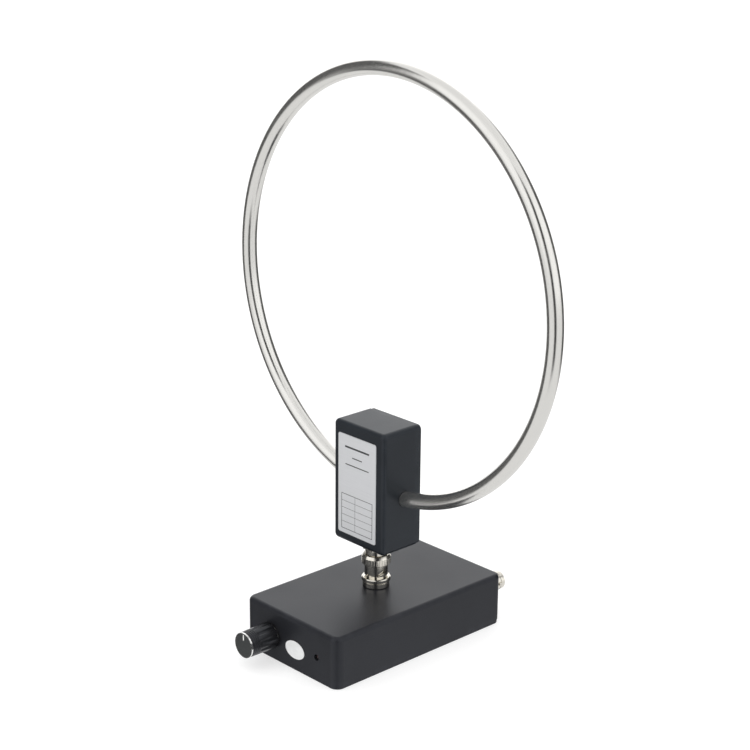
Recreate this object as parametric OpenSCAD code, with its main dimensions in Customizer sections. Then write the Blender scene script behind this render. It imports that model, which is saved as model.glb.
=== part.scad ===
// Desk-top receiving loop antenna: a steel ring held in a head box that plugs into a base box.
// Millimetres, +Z up, origin at the middle of the underside, front panel towards -Y.

/* [Base box] */
// Width of the base across its front panel
base_w = 65; // [64:1:90]
// Length of the base from front panel to rear panel
base_l = 110; // [108:1:160]
// Height of the base with its bottom cover
base_h = 26; // [25.5:0.5:40]
// Wall thickness of the base shell
base_wall = 2; // [1.6:0.1:2.6]
// Radius of the upright corners of the base
base_corner_r = 4.5; // [3.5:0.1:7]
// Radius of the rounded top edge of the base
base_edge_r = 2.2; // [1:0.1:3]
// Thickness of the bottom cover
base_cover_t = 1.8; // [1.6:0.1:2.4]
// Diameter of the screw bosses in the base corners
base_boss_d = 6; // [5:0.1:7]
// Shank diameter of the bottom cover screws
base_screw_d = 2.6; // [2:0.1:3]
// Length of the bottom cover screws
base_screw_l = 9; // [6:0.5:14]

/* [Front panel] */
// Sideways place of the gain knob
knob_x = -13.5; // [-16:0.5:-11]
// Height of the gain knob's axis
knob_z = 12.3; // [11:0.1:14]
// Sideways place of the indicator lamp
led_x = 18.5; // [12:0.5:22]
// Height of the indicator lamp
led_z = 12.2; // [11:0.1:15]
// Diameter of the indicator lamp
led_d = 3; // [2:0.1:5]
// Width of the oval sticker
sticker_w = 13.2; // [10:0.1:15]
// Height of the oval sticker
sticker_h = 8.8; // [6:0.1:12]
// Sideways place of the oval sticker
sticker_x = 3.4; // [2:0.1:6]
// Height of the middle of the oval sticker
sticker_z = 10.5; // [9:0.1:14]

/* [Gain control] */
// Length of the knob
knob_l = 16; // [14:0.5:20]
// Diameter of the knob at the panel
knob_rear_d = 13.6; // [13.2:0.1:16]
// Diameter of the knob at its face
knob_front_d = 12.4; // [11:0.1:13]
// Gap between the knob and the panel
knob_gap = 1.2; // [0.6:0.1:1.8]
// Length of the grooved band behind the knob's face
knob_band_l = 4.6; // [3:0.1:6]
// Number of grip flutes round the knob
knob_flutes = 10; // [8:1:24]
// Width of the bright ring round the knob's face
knob_ring_w = 0.35; // [0.3:0.05:1]
// Length of the white pointer line
pointer_l = 2.8; // [2:0.1:5]
// Width of the white pointer line
pointer_w = 0.7; // [0.4:0.1:1.2]
// Diameter of the control's shaft
shaft_d = 6; // [5:0.1:6.2]
// Diameter of the control's threaded bush
bush_d = 7.4; // [7.2:0.1:8]
// Length of the bush in front of the panel
bush_l = 3.2; // [2.8:0.1:3.4]
// Width across the flats of the bush nut
bush_nut_af = 9.2; // [9:0.1:9.6]
// Diameter of the control's case
pot_d = 16; // [14:0.5:17]
// Depth of the control behind the panel
pot_depth = 8.5; // [7.5:0.1:11]

/* [Bayonet connectors] */
// Outside diameter of a socket's barrel
barrel_d = 9.6; // [9.4:0.05:9.7]
// Bore of a socket's barrel
barrel_bore_d = 8.1; // [7.9:0.05:8.3]
// Length of a socket's barrel in front of its flange
barrel_l = 7.7; // [7.5:0.1:9]
// Diameter of a bayonet stud
stud_d = 2; // [1.6:0.1:2.2]
// Width over both bayonet studs
stud_span = 11.1; // [10.8:0.05:11.2]
// Height of the studs over the flange
stud_rise = 4.2; // [3.8:0.1:4.4]
// Diameter of a socket's flange
flange_d = 14.2; // [12:0.1:16]
// Thickness of a socket's flange
flange_t = 2; // [1.5:0.1:3]
// Diameter of the thick washer under the flange
jack_washer_d = 13.2; // [11:0.1:16]
// Thickness of the washer under the flange
jack_washer_t = 2.9; // [1:0.1:3]
// Diameter of the fixing threads
thread_d = 9.4; // [8.5:0.1:9.6]
// Length of a socket's thread behind the panel's face
jack_thread_l = 8; // [7:0.1:9]
// Width across the flats of the fixing nuts
fix_nut_af = 12.7; // [12:0.1:14]
// Thickness of the fixing nuts
fix_nut_t = 2.5; // [2:0.1:3]
// Distance from the output socket's axis to the side of the base
output_edge = 14.5; // [14:0.5:18]
// Sideways place of the output socket on the rear panel
output_x = base_w / 2 - output_edge;
// Height of the output socket
output_z = 14; // [12:0.1:14]

/* [Coupling ring] */
// Outside diameter of the knurled grip
grip_d = 14.3; // [13:0.1:16]
// Length of the knurled grip
grip_l = 4.7; // [3:0.1:5]
// Number of grooves in the grip
grip_grooves = 36; // [16:1:48]
// Outside diameter of the ring's sleeve
sleeve_d = 11.5; // [11.4:0.05:12]
// Length of the whole ring
ring_l = 10.5; // [10.2:0.1:10.8]
// Turn that frees the ring from the studs, in degrees
ring_turn = 90; // [60:5:90]
// Rise of the ring and the head over that turn
ring_rise = 3; // [2:0.1:3.4]

/* [Plug under the head] */
// Diameter of the plug's round body
plug_d = 11; // [10:0.1:13]
// Length of the plug's round body
plug_l = 2.5; // [1.5:0.1:4]
// Width across the flats of the plug's hexagon
plug_hex_af = 11.5; // [10.5:0.1:13]
// Length of the plug's hexagon
plug_hex_l = 3.6; // [3:0.1:6]
// Diameter of the centre pin
pin_d = 1.35; // [1.2:0.05:1.4]

/* [Head box] */
// Width of the head
head_w = 35; // [34:0.5:50]
// Depth of the head with its back cover
head_d = 24; // [22.5:0.5:32]
// Height of the head
head_h = 61; // [60:0.5:80]
// Wall thickness of the head shell
head_wall = 1.8; // [1.4:0.1:2.2]
// Radius of the head's corners seen from the front
head_corner_r = 2.6; // [2.4:0.1:5]
// Radius of the rounded edge round the head's face
head_edge_r = 2; // [1:0.1:2.3]
// Thickness of the head's back cover
head_cover_t = 2; // [1.6:0.1:2.4]
// Diameter of the screw bosses in the head corners
head_boss_d = 5; // [4.6:0.1:5.4]
// Shank diameter of the back cover screws
head_screw_d = 2.2; // [1.8:0.1:2.4]
// Length of the back cover screws
head_screw_l = 9; // [6:0.5:14]
// Width of the face label
label_w = 26; // [20:0.5:27]
// Height of the face label
label_h = 50.5; // [40:0.5:54]
// Sideways place of the face label
label_x = -0.9; // [-2.5:0.1:2.5]
// Height of the label's middle over the head's underside
label_rise = 29.8; // [29:0.1:31]

/* [Loop] */
// Radius of the ring to the middle of its tube
loop_r = 101; // [90:1:160]
// Outside diameter of the tube
tube_d = 7.5; // [6.5:0.1:8.5]
// Wall of the tube
tube_wall = 0.8; // [0.5:0.1:1.5]
// Sideways shift of the ring from the head's middle
loop_x = 6; // [0:0.5:8]
// Shift of the ring's plane behind the head's middle
loop_y = 1.5; // [1:0.1:1.8]
// Height of the ring's lowest point over the head's underside
loop_rise = 25.8; // [25:0.1:30]
// Gap between the tube's two ends inside the head
feed_gap = 14; // [13:0.5:15]
// Distance from a tube end to the clamp that holds it
rest_gap = 1.5; // [1.2:0.1:2]
// Width of the two clamps that hold the tube
clamp_w = 6; // [5:0.1:6.5]
// Thickness of a clamp behind the tube
clamp_t = 2.1; // [1.6:0.1:2.3]

/* [Inside] */
// Diameter of the battery cell
cell_d = 18.4; // [14:0.1:18.6]
// Length of the base that the battery cell leaves free
cell_free_l = 45; // [44:0.5:60]
// Length of the battery cell
cell_l = base_l - cell_free_l;
// Height of the amplifier board over the bottom cover
board_rise = 5.6; // [4.5:0.1:6.5]
// Thickness of both circuit boards
board_t = 1.6; // [1:0.1:2]
// Sideways place of the charging socket on the rear panel
charge_x = -10.5; // [-11:0.5:-8]
// Room between the preamplifier board and the tube rests
preamp_room = 0.5; // [0.2:0.1:0.8]
// Width of the preamplifier board
preamp_w = feed_gap + 2 * (rest_gap - preamp_room);
// Height of the preamplifier board
preamp_h = 18; // [17.5:0.1:18.5]
// Diameter of the matching core
core_d = 9.4; // [8:0.1:9.6]
// Diameter of the hook-up wire
wire_d = 0.8; // [0.6:0.1:0.9]

/* [Hidden] */
$fn = 64;

// Clearances: round a fixed piece, round a turning piece, and round the ring's moving studs
fit = 0.1;
run = 0.05;
stud_room = 0.2;
// Overlap that lets a cut pass right through a face
through = 1;

// Base shell and cover
base_in_w = base_w - 2 * base_wall;
base_ceiling = base_h - base_wall;
seam_inset = 0.3;
lip_t = 1.2;
lip_h = 1.5;
lip_fit = 0.15;
boss_bite = 0.3;
base_boss_inset = base_wall + base_boss_d / 2 - boss_bite;
countersink_h = 1.3;
countersink_ratio = 1.9;

// Gain control, measured outwards from the panel's face
pot_plate_t = 1.2;
pot_shell_t = 1.3;
rotor_t = 1.5;
rotor_d = pot_d - 2 * pot_shell_t - 1;
bush_washer_t = 0.5;
bush_washer_rim = 0.6;
bush_washer_d = bush_nut_af + bush_washer_rim;
bush_nut_t = 2;
nut_room = 0.8;
bush_end_room = 1;
knob_recess_d = bush_nut_af / cos(30) + nut_room;
knob_recess_l = bush_l - knob_gap + bush_end_room;
knob_face_z = knob_gap + knob_l;
knob_cap_t = 0.8;
knob_socket_l = 10.5;
shaft_end_gap = 0.3;
shaft_end_z = knob_gap + knob_socket_l - shaft_end_gap;
shaft_flat = shaft_d / 6;
knob_groove_count = 4;
knob_groove_d = 0.6;
flute_share = 0.8;
flute_d = flute_share * PI * knob_rear_d / knob_flutes;
groove_out = 0.3;
flute_out = 0.3;
pointer_margin = 0.4;
sticker_points = 72;
led_recess = 0.6;
led_flange = 0.8;
led_l = 4;
led_tail_l = 4;

// Bayonet socket, measured outwards from the panel's face
flange_top = jack_washer_t + flange_t;
mouth_z = flange_top + barrel_l;
stud_z = flange_top + stud_rise;
flange_ease = 0.4;
barrel_relief = 0.15;
barrel_land_gap = 0.2;
barrel_land_z = stud_z + stud_d / 2 + barrel_land_gap;
sleeve_room = 0.3;
sleeve_bore_d = barrel_d + sleeve_room;
thread_wall = 1.5;
core_bore_d = thread_d - 2 * thread_wall;
seat_t = 1;
contact_d = 2.2;
contact_bore_d = pin_d + 2 * run;
contact_bore_l = 6;
contact_depth = 1.2;
contact_tip_z = mouth_z - contact_depth;
contact_show = 0.4;
collar_d = 4.8;
tail_d = 1.2;
output_tail_l = 13;
stud_angle = 10;

// Plug and coupling ring, measured upwards from the base's top face
gasket_t = 0.5;
plug_collar_t = 0.7;
spring_t = 0.5;
ring_wall_t = 2.2;
gasket_z = mouth_z + run;
plug_collar_z = gasket_z + gasket_t;
spring_z = plug_collar_z + plug_collar_t + run;
ring_wall_z = spring_z + spring_t + run;
ring_top = ring_wall_z + ring_wall_t;
ring_bottom = ring_top - ring_l;
grip_z = ring_top - grip_l;
groove_d = 0.5;
grip_groove_out = 0.35;
grip_ease = 0.3;
grip_shoulder = 0.9;
grip_shoulder_h = 1.4;
plug_neck_d = barrel_bore_d + sleeve_room;
plug_neck_gap = 0.4;
plug_body_z = ring_top + plug_neck_gap;
plug_hex_z = plug_body_z + plug_l;
head_gap = plug_hex_z + plug_hex_l;
plug_thread_l = 7.5;
plug_tube_d = barrel_bore_d - 2 * fit;
plug_tube_wall = 0.45;
plug_tube_bore_d = plug_tube_d - 2 * plug_tube_wall;
plug_tube_gap = 0.7;
plug_tube_z = flange_top + seat_t + plug_tube_gap;
plug_core_d = core_bore_d - 2 * fit;
core_show = 0.5;
plug_core_l = head_gap + plug_thread_l + core_show;
pin_set_back = 1.2;
pin_tip_z = plug_tube_z + pin_set_back;
pin_show = 1.5;
pin_top_z = plug_core_l + pin_show;
finger_slot_w = 0.5;
finger_slot_l = 4;
slot_step = 6;
inner_washer_t = 0.8;

// Head box
head_z = base_h + head_gap;
head_mid_z = head_z + head_h / 2;
head_top_in = head_z + head_h - head_wall;
head_front_in = -head_d / 2 + head_wall;
head_seam_y = head_d / 2 - head_cover_t;
head_boss_inset = head_wall + head_boss_d / 2 - boss_bite;
label_t = 0.2;
label_corner_r = 1.2;

// Loop and its clamps
loop_z = head_z + loop_rise + loop_r;
tube_bore_d = tube_d - 2 * tube_wall;
end_right = -90 + asin((feed_gap / 2 - loop_x) / loop_r);
end_left = 270 + asin((-feed_gap / 2 - loop_x) / loop_r);
rest_x = feed_gap / 2 + rest_gap + clamp_w / 2;
rest_split = 0.2;
clamp_screw_d = 2;
clamp_screw_head_d = 3.8;
clamp_screw_head_t = 1.4;
clamp_screw_l = 6;
clamp_screw_gap = 2.8;
clamp_margin = 3;
clamp_screw_out = tube_d / 2 + clamp_screw_gap;
clamp_h = 2 * (clamp_screw_out + clamp_margin);
clamp_back_y = loop_y + tube_d / 2 + clamp_t;
lug_in = 4;
lug_out = 2.2;
lug_tag_w = 2;
lug_tag_t = 2.4;

// Boards, battery and wiring in the base
holder_floor = 1.2;
holder_rail = 0.9;
holder_rail_h = 5;
holder_end_t = 1.5;
holder_end_h = 14;
plate_t = 1;
plate_w = 12;
plate_h = 9;
holder_w = cell_d + 2 * (fit + holder_rail);
holder_l = cell_l + 2 * (fit + plate_t + holder_end_t);
holder_gap = 0.4;
battery_x = base_in_w / 2 - lip_fit - lip_t - holder_gap - holder_w / 2;
battery_y = -5;
cell_z = base_cover_t + holder_floor + fit / 2 + cell_d / 2;
plate_y = cell_l / 2 + fit + plate_t / 2;
board_z = base_cover_t + board_rise;
board_top = board_z + board_t;
board_side_gap = 2;
board_holder_gap = 1;
board_pot_gap = 2.5;
board_rear_gap = 0.5;
board_left = -base_in_w / 2 + base_boss_d + board_side_gap;
board_right = battery_x - holder_w / 2 - board_holder_gap;
board_front = -base_l / 2 + base_wall + pot_depth + board_pot_gap;
board_rear = base_l / 2 - base_wall - board_rear_gap;
board_inset_x = 3;
board_inset_y = 4.5;
board_posts = [
    for (x = [board_left + board_inset_x, board_right - board_inset_x],
         y = [board_front + board_inset_y, board_rear - board_inset_y]) [x, y]
];
post_d = 4.6;
board_screw_d = 1.8;
board_screw_head_d = 3.6;
board_screw_head_t = 1.3;
board_screw_l = 5;
chip_w = 6;
chip_l = 9;
chip_t = 1.6;
chip_shares = [0.21, 0.7];
can_d = 5;
can_h = 7;
can_share = 0.32;
can_spread = 6;
coil_w = 4;
coil_h = 3;
coil_shares = [0.56, 0.65];
coil_edge = 2;
pad_inset = 2;
lead_bend = 2;
lead_in = 8;
tag_lap = 1.2;
charge_w = 7.6;
charge_h = 2.7;
charge_l = 6;
charge_shell_t = 0.35;
charge_recess = 0.2;
tongue_t = 0.7;
tongue_share = 0.6;
tongue_set_back = 0.8;

// Preamplifier board in the head
preamp_top_gap = 1.2;
preamp_top = head_top_in - preamp_top_gap;
preamp_bottom = preamp_top - preamp_h;
preamp_mid = preamp_top - preamp_h / 2;
preamp_post_l = 4.7;
preamp_y = head_front_in + preamp_post_l;
preamp_back = preamp_y + board_t;
preamp_screw_inset = 2.1;
preamp_screws_z = [preamp_bottom + preamp_screw_inset, preamp_top - preamp_screw_inset];
core_t = 4;
solder_inset = 1.6;
solder_z = preamp_bottom + solder_inset;
lead_drop = 3;

// Height of the tube's middle over the ring's lowest quarter
function tube_height(x) = loop_z - sqrt(pow(loop_r, 2) - pow(x - loop_x, 2));
// Places of four screws near the corners of a box
function corners(w, l, inset) =
    [for (sx = [-1, 1], sy = [-1, 1]) [sx * (w / 2 - inset), sy * (l / 2 - inset)]];
// Height of the studs inside the ring after it has turned by an angle
function stud_drop(angle) = stud_z - ring_rise * angle / ring_turn;

// Rectangle with round corners
module round_rect(w, l, r) {
    square([w - 2 * r, l], center = true);
    square([w, l - 2 * r], center = true);
    for (p = corners(w, l, r))
        translate(p) circle(r);
}

// Square corner piece less a round, to cut from a section whose corner is at zero
module corner_round(r) {
    difference() {
        translate([-r, -r]) square(r + through);
        translate([-r, -r]) circle(r);
    }
}

// Upright section through a rounded rim, from the middle of a corner outwards
module rim_profile(r, h, edge_r) {
    difference() {
        square([r, h]);
        translate([r, h]) corner_round(edge_r);
    }
}

// Upright section right across a block with two rounded upper edges
module bar_profile(w, h, edge_r) {
    for (side = [0, 1])
        mirror([side, 0]) rim_profile(w / 2, h, edge_r);
}

// Block with round upright corners and a rounded upper rim
module rounded_block(w, l, h, corner_r, edge_r) {
    for (p = corners(w, l, corner_r))
        translate(p) rotate_extrude() rim_profile(corner_r, h, edge_r);
    rotate([90, 0, 90]) linear_extrude(w - 2 * corner_r, center = true) bar_profile(l, h, edge_r);
    rotate([90, 0, 0]) linear_extrude(l - 2 * corner_r, center = true) bar_profile(w, h, edge_r);
}

// Open tray, rim downwards at zero, with screw bosses in its corners
module tray(w, l, h, wall, corner_r, edge_r, boss_d, boss_inset, pilot_d, pilot_l) {
    difference() {
        rounded_block(w, l, h, corner_r, edge_r);
        difference() {
            translate([0, 0, -through])
                linear_extrude(h - wall + through)
                    round_rect(w - 2 * wall, l - 2 * wall, max(corner_r - wall, 0.5));
            for (p = corners(w, l, boss_inset))
                translate([p.x, p.y, -2 * through]) cylinder(d = boss_d, h = h + through);
        }
        for (p = corners(w, l, boss_inset))
            translate([p.x, p.y, -through]) cylinder(d = pilot_d, h = pilot_l + through);
    }
}

// Cover plate under a tray: its lip stands up inside the walls, its screw holes are countersunk
module cover(w, l, t, wall, corner_r, boss_d, boss_inset, screw_d) {
    in_w = w - 2 * (wall + lip_fit);
    in_l = l - 2 * (wall + lip_fit);
    in_r = max(corner_r - wall, 0.5);
    difference() {
        union() {
            translate([0, 0, -t]) linear_extrude(t)
                round_rect(w - 2 * seam_inset, l - 2 * seam_inset, corner_r - seam_inset);
            linear_extrude(lip_h) difference() {
                round_rect(in_w, in_l, in_r);
                round_rect(in_w - 2 * lip_t, in_l - 2 * lip_t, in_r);
                for (p = corners(w, l, boss_inset))
                    translate(p) circle(d = boss_d + 2 * lip_t);
            }
        }
        for (p = corners(w, l, boss_inset)) translate([p.x, p.y, -t]) {
            translate([0, 0, -through]) cylinder(d = screw_d + 2 * fit, h = t + 2 * through);
            countersunk_head(screw_d, fit);
        }
    }
}

// Countersunk screw head, wide end at zero, with some room round it
module countersunk_head(screw_d, room) {
    cylinder(d1 = screw_d * countersink_ratio + 2 * room, d2 = screw_d + 2 * room, h = countersink_h);
}

// Countersunk screw pointing upwards from the outer face of a cover, with a cross recess
module cover_screw(screw_d, length) {
    recess_w = screw_d * 0.3;
    recess_l = screw_d * 1.1;
    difference() {
        union() {
            countersunk_head(screw_d, 0);
            cylinder(d = screw_d, h = length);
        }
        for (turn = [0, 90])
            rotate(turn) cube([recess_l, recess_w, countersink_h], center = true);
    }
}

// Pan-head screw: its shank runs down from zero and its head stands above
module pan_screw(shank_d, length, head_d, head_t) {
    difference() {
        union() {
            translate([0, 0, -length]) cylinder(d = shank_d, h = length);
            cylinder(d = head_d, h = head_t);
        }
        for (turn = [0, 90])
            rotate(turn) translate([0, 0, head_t]) cube([head_d * 0.6, head_d * 0.2, head_t], center = true);
    }
}

// Flat ring
module washer(outer_d, inner_d, t) {
    difference() {
        cylinder(d = outer_d, h = t);
        translate([0, 0, -through]) cylinder(d = inner_d, h = t + 2 * through);
    }
}

// Hexagonal nut with a plain bore
module hex_nut(across, bore_d, t) {
    difference() {
        cylinder(d = across / cos(30), h = t, $fn = 6);
        translate([0, 0, -through]) cylinder(d = bore_d, h = t + 2 * through);
    }
}

// Straight round bar between two points
module bar(a, b, d) {
    run_xyz = b - a;
    translate(a)
        rotate([0, acos(run_xyz.z / norm(run_xyz)), atan2(run_xyz.y, run_xyz.x)])
            cylinder(d = d, h = norm(run_xyz), $fn = 24);
}

// Wire that runs straight from point to point with round elbows
module wire(points) {
    for (i = [0 : len(points) - 2])
        bar(points[i], points[i + 1], wire_d);
    for (i = [1 : len(points) - 2])
        translate(points[i]) sphere(d = wire_d, $fn = 24);
}

// Places: the front panel, the rear panel, the top of the base and the face of the head
module on_front(x, z) {
    translate([x, -base_l / 2, z]) rotate([90, 0, 0]) children();
}

module on_rear(x, z) {
    translate([x, base_l / 2, z]) rotate([-90, 0, 0]) children();
}

module on_top() {
    translate([0, 0, base_h]) children();
}

module in_head() {
    translate([0, head_seam_y, head_mid_z]) rotate([90, 0, 0]) children();
}

// Base box
module base_shell() {
    color("#39393c") difference() {
        union() {
            translate([0, 0, base_cover_t])
                tray(base_w, base_l, base_h - base_cover_t, base_wall, base_corner_r, base_edge_r,
                     base_boss_d, base_boss_inset, base_screw_d + 2 * fit, base_screw_l + fit);
            for (p = board_posts)
                translate([p.x, p.y, board_top]) cylinder(d = post_d, h = base_ceiling - board_top + through);
        }
        for (p = board_posts)
            translate([p.x, p.y, board_top - through])
                cylinder(d = board_screw_d + 2 * fit, h = board_screw_l + through);
        on_top() panel_hole(thread_d + 2 * fit);
        on_rear(output_x, output_z) panel_hole(thread_d + 2 * fit);
        on_front(knob_x, knob_z) panel_hole(bush_d + 2 * fit);
        on_front(led_x, led_z) panel_hole(led_d + 2 * fit);
        translate([charge_x, base_l / 2, board_top + charge_h / 2])
            cube([charge_w + 2 * fit, 3 * base_wall, charge_h + 2 * fit], center = true);
    }
}

// Round hole through a wall of the base
module panel_hole(d) {
    translate([0, 0, -base_wall - through]) cylinder(d = d, h = base_wall + 2 * through);
}

module base_bottom_cover() {
    color("#2c2c2e") translate([0, 0, base_cover_t])
        cover(base_w, base_l, base_cover_t, base_wall, base_corner_r, base_boss_d, base_boss_inset,
              base_screw_d);
}

module base_cover_screws() {
    color("#55565a") for (p = corners(base_w, base_l, base_boss_inset))
        translate([p.x, p.y, fit]) cover_screw(base_screw_d, base_screw_l);
}

module front_sticker() {
    color("#f1f1ee") on_front(sticker_x, sticker_z) linear_extrude(label_t)
        polygon([for (i = [0 : sticker_points - 1])
            [sticker_w / 2 * cos(i * 360 / sticker_points), sticker_h / 2 * sin(i * 360 / sticker_points)]]);
}

// Lamp seen through its hole, with a flange behind the panel and two legs
module indicator_led() {
    color("#7d2a25") on_front(led_x, led_z) {
        translate([0, 0, -led_recess - led_d / 2]) sphere(d = led_d);
        translate([0, 0, -led_recess - led_l]) cylinder(d = led_d, h = led_l - led_d / 2);
        translate([0, 0, -base_wall - led_flange]) cylinder(d = led_d + led_flange, h = led_flange);
        for (s = [-1, 1])
            translate([s * led_d / 4, 0, -led_recess - led_l - led_tail_l])
                cylinder(d = wire_d, h = led_tail_l + through, $fn = 24);
    }
}

// Gain control
module gain_knob() {
    taper_l = knob_l - knob_cap_t;
    band_z = knob_gap + taper_l - knob_band_l;
    color("#232427") on_front(knob_x, knob_z) difference() {
        translate([0, 0, knob_gap]) cylinder(d1 = knob_rear_d, d2 = knob_front_d, h = taper_l);
        for (i = [1 : knob_flutes])
            rotate(i * 360 / knob_flutes)
                translate([knob_rear_d / 2 + flute_d * flute_out, 0, knob_gap - through])
                cylinder(d = flute_d, h = taper_l - knob_band_l + through, $fn = 24);
        for (i = [1 : knob_groove_count])
            translate([0, 0, band_z + (i - 0.5) * knob_band_l / knob_groove_count])
                rotate_extrude() translate([knob_front_d / 2 + knob_groove_d * groove_out, 0])
                    circle(d = knob_groove_d, $fn = 24);
        translate([0, 0, knob_gap - through]) cylinder(d = knob_recess_d, h = knob_recess_l + through);
        flatted_shaft(shaft_d + 2 * run, knob_gap, knob_gap + knob_socket_l, run);
    }
}

// Round bar with one flat, between two distances from the panel
module flatted_shaft(d, z0, z1, room) {
    translate([0, 0, z0]) difference() {
        cylinder(d = d, h = z1 - z0);
        translate([-d, shaft_d / 2 - shaft_flat + room, -through]) cube([2 * d, d, z1 - z0 + 2 * through]);
    }
}

module knob_ring() {
    color("#e4e4e2") on_front(knob_x, knob_z) translate([0, 0, knob_face_z - knob_cap_t])
        washer(knob_front_d, knob_front_d - 2 * knob_ring_w, knob_cap_t);
}

module knob_cap() {
    color("#47484a") on_front(knob_x, knob_z) difference() {
        translate([0, 0, knob_face_z - knob_cap_t])
            cylinder(d = knob_front_d - 2 * knob_ring_w - 2 * run, h = knob_cap_t);
        pointer_block(run);
    }
}

// Bar of the pointer, from the rim of the cap towards its middle
module pointer_block(room) {
    rim_y = knob_front_d / 2 - knob_ring_w - pointer_margin;
    translate([-pointer_w / 2 - room, rim_y - pointer_l - room, knob_face_z - knob_cap_t / 2])
        cube([pointer_w + 2 * room, pointer_l + 2 * room, knob_cap_t / 2 + through * room]);
}

module knob_pointer() {
    color("#f4f4f2") on_front(knob_x, knob_z) pointer_block(0);
}

// Flatted shaft with the rotor that the control's case keeps in
module pot_shaft() {
    color("#b9b9b6") on_front(knob_x, knob_z) {
        translate([0, 0, -base_wall - pot_plate_t - fit - rotor_t]) cylinder(d = rotor_d, h = rotor_t);
        translate([0, 0, -base_wall - pot_plate_t - fit - rotor_t / 2])
            cylinder(d = shaft_d, h = base_wall + pot_plate_t + fit + rotor_t / 2 + knob_gap + knob_recess_l);
        flatted_shaft(shaft_d, knob_gap + knob_recess_l - run, shaft_end_z, 0);
    }
}

module pot_bushing() {
    color("#c8c3b4") on_front(knob_x, knob_z) difference() {
        union() {
            translate([0, 0, -base_wall - pot_plate_t]) cylinder(d = pot_d, h = pot_plate_t);
            translate([0, 0, -base_wall - pot_plate_t])
                cylinder(d = bush_d, h = pot_plate_t + base_wall + bush_l);
        }
        translate([0, 0, -base_wall - pot_plate_t - through])
            cylinder(d = shaft_d + 2 * run, h = pot_plate_t + base_wall + bush_l + 2 * through);
    }
}

// Cup behind the bush plate, with three tags that lie on the amplifier board
module pot_case() {
    cup_l = pot_depth - pot_plate_t;
    tag_w = 1.2;
    tag_t = 0.5;
    tag_pitch = pot_d * 0.3;
    color("#8e8f92") {
        on_front(knob_x, knob_z) translate([0, 0, -base_wall - pot_depth]) difference() {
            cylinder(d = pot_d, h = cup_l);
            translate([0, 0, pot_shell_t]) cylinder(d = pot_d - 2 * pot_shell_t, h = cup_l);
        }
        for (i = [-1, 0, 1])
            translate([knob_x + i * tag_pitch - tag_w / 2,
                       -base_l / 2 + base_wall + pot_depth - pot_shell_t / 2,
                       board_top])
                cube([tag_w, board_pot_gap + pot_shell_t / 2 + tag_lap, tag_t]);
    }
}

module pot_washer() {
    color("#d0d0cc") on_front(knob_x, knob_z) washer(bush_washer_d, bush_d + 2 * fit, bush_washer_t);
}

module pot_nut() {
    color("#cfcdc4") on_front(knob_x, knob_z) translate([0, 0, bush_washer_t])
        hex_nut(bush_nut_af, bush_d + 2 * fit, bush_nut_t);
}

// Round disc with a small slope round its foot and a shoulder round its top
module eased_disc(d, h, ease, shoulder, shoulder_h) {
    rotate_extrude() polygon([
        [0, 0], [d / 2 - ease, 0], [d / 2, ease],
        [d / 2, h - shoulder_h], [d / 2 - shoulder, h], [0, h]
    ]);
}

// Bayonet socket: thread, flange, barrel and two studs
module jack_body() {
    difference() {
        union() {
            translate([0, 0, -jack_thread_l]) cylinder(d = thread_d, h = jack_thread_l + flange_top);
            translate([0, 0, jack_washer_t])
                eased_disc(flange_d, flange_t, flange_ease, flange_ease, flange_ease);
            cylinder(d = barrel_d - 2 * barrel_relief, h = mouth_z);
            translate([0, 0, barrel_land_z]) cylinder(d = barrel_d, h = mouth_z - barrel_land_z);
            translate([0, 0, stud_z]) rotate([0, 90, 0]) cylinder(d = stud_d, h = stud_span, center = true);
        }
        translate([0, 0, flange_top]) cylinder(d = barrel_bore_d, h = barrel_l + through);
        translate([0, 0, -jack_thread_l - through]) cylinder(d = core_bore_d, h = mouth_z + jack_thread_l);
    }
}

module jack_insulator() {
    difference() {
        union() {
            translate([0, 0, -jack_thread_l])
                cylinder(d = plug_core_d, h = jack_thread_l + flange_top + seat_t);
            translate([0, 0, flange_top]) cylinder(d = barrel_bore_d - 2 * fit, h = seat_t);
            cylinder(d = collar_d, h = contact_tip_z - contact_show);
        }
        translate([0, 0, -jack_thread_l - through])
            cylinder(d = contact_d + 2 * run, h = jack_thread_l + mouth_z + through);
    }
}

// Socket contact with a thinner tail down to a given depth behind the panel
module jack_contact(tail_l) {
    difference() {
        union() {
            translate([0, 0, -jack_thread_l]) cylinder(d = contact_d, h = jack_thread_l + contact_tip_z);
            translate([0, 0, -tail_l]) cylinder(d = tail_d, h = tail_l, $fn = 32);
        }
        translate([0, 0, contact_tip_z - contact_bore_l])
            cylinder(d = contact_bore_d, h = contact_bore_l + through);
    }
}

module jack_washer() {
    difference() {
        eased_disc(jack_washer_d, jack_washer_t, flange_ease, flange_ease, flange_ease);
        translate([0, 0, -through]) cylinder(d = thread_d + 2 * fit, h = jack_washer_t + 2 * through);
    }
}

module jack_nut() {
    translate([0, 0, -base_wall - fix_nut_t]) rotate(30)
        hex_nut(fix_nut_af, thread_d + 2 * fit, fix_nut_t);
}

module loop_jack_body() {
    color("#d8d2c4") on_top() rotate(stud_angle) jack_body();
}

module loop_jack_washer() {
    color("#c9c4b8") on_top() jack_washer();
}

module loop_jack_nut() {
    color("#cfc9bc") on_top() jack_nut();
}

module loop_jack_insulator() {
    color("#f3f2ee") on_top() jack_insulator();
}

module loop_jack_contact() {
    color("#d2a84c") on_top() jack_contact(base_h - board_top);
}

module output_jack_body() {
    color("#d8d2c4") on_rear(output_x, output_z) jack_body();
}

module output_jack_washer() {
    color("#c9c4b8") on_rear(output_x, output_z) jack_washer();
}

module output_jack_nut() {
    color("#cfc9bc") on_rear(output_x, output_z) jack_nut();
}

module output_jack_insulator() {
    color("#f3f2ee") on_rear(output_x, output_z) jack_insulator();
}

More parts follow.
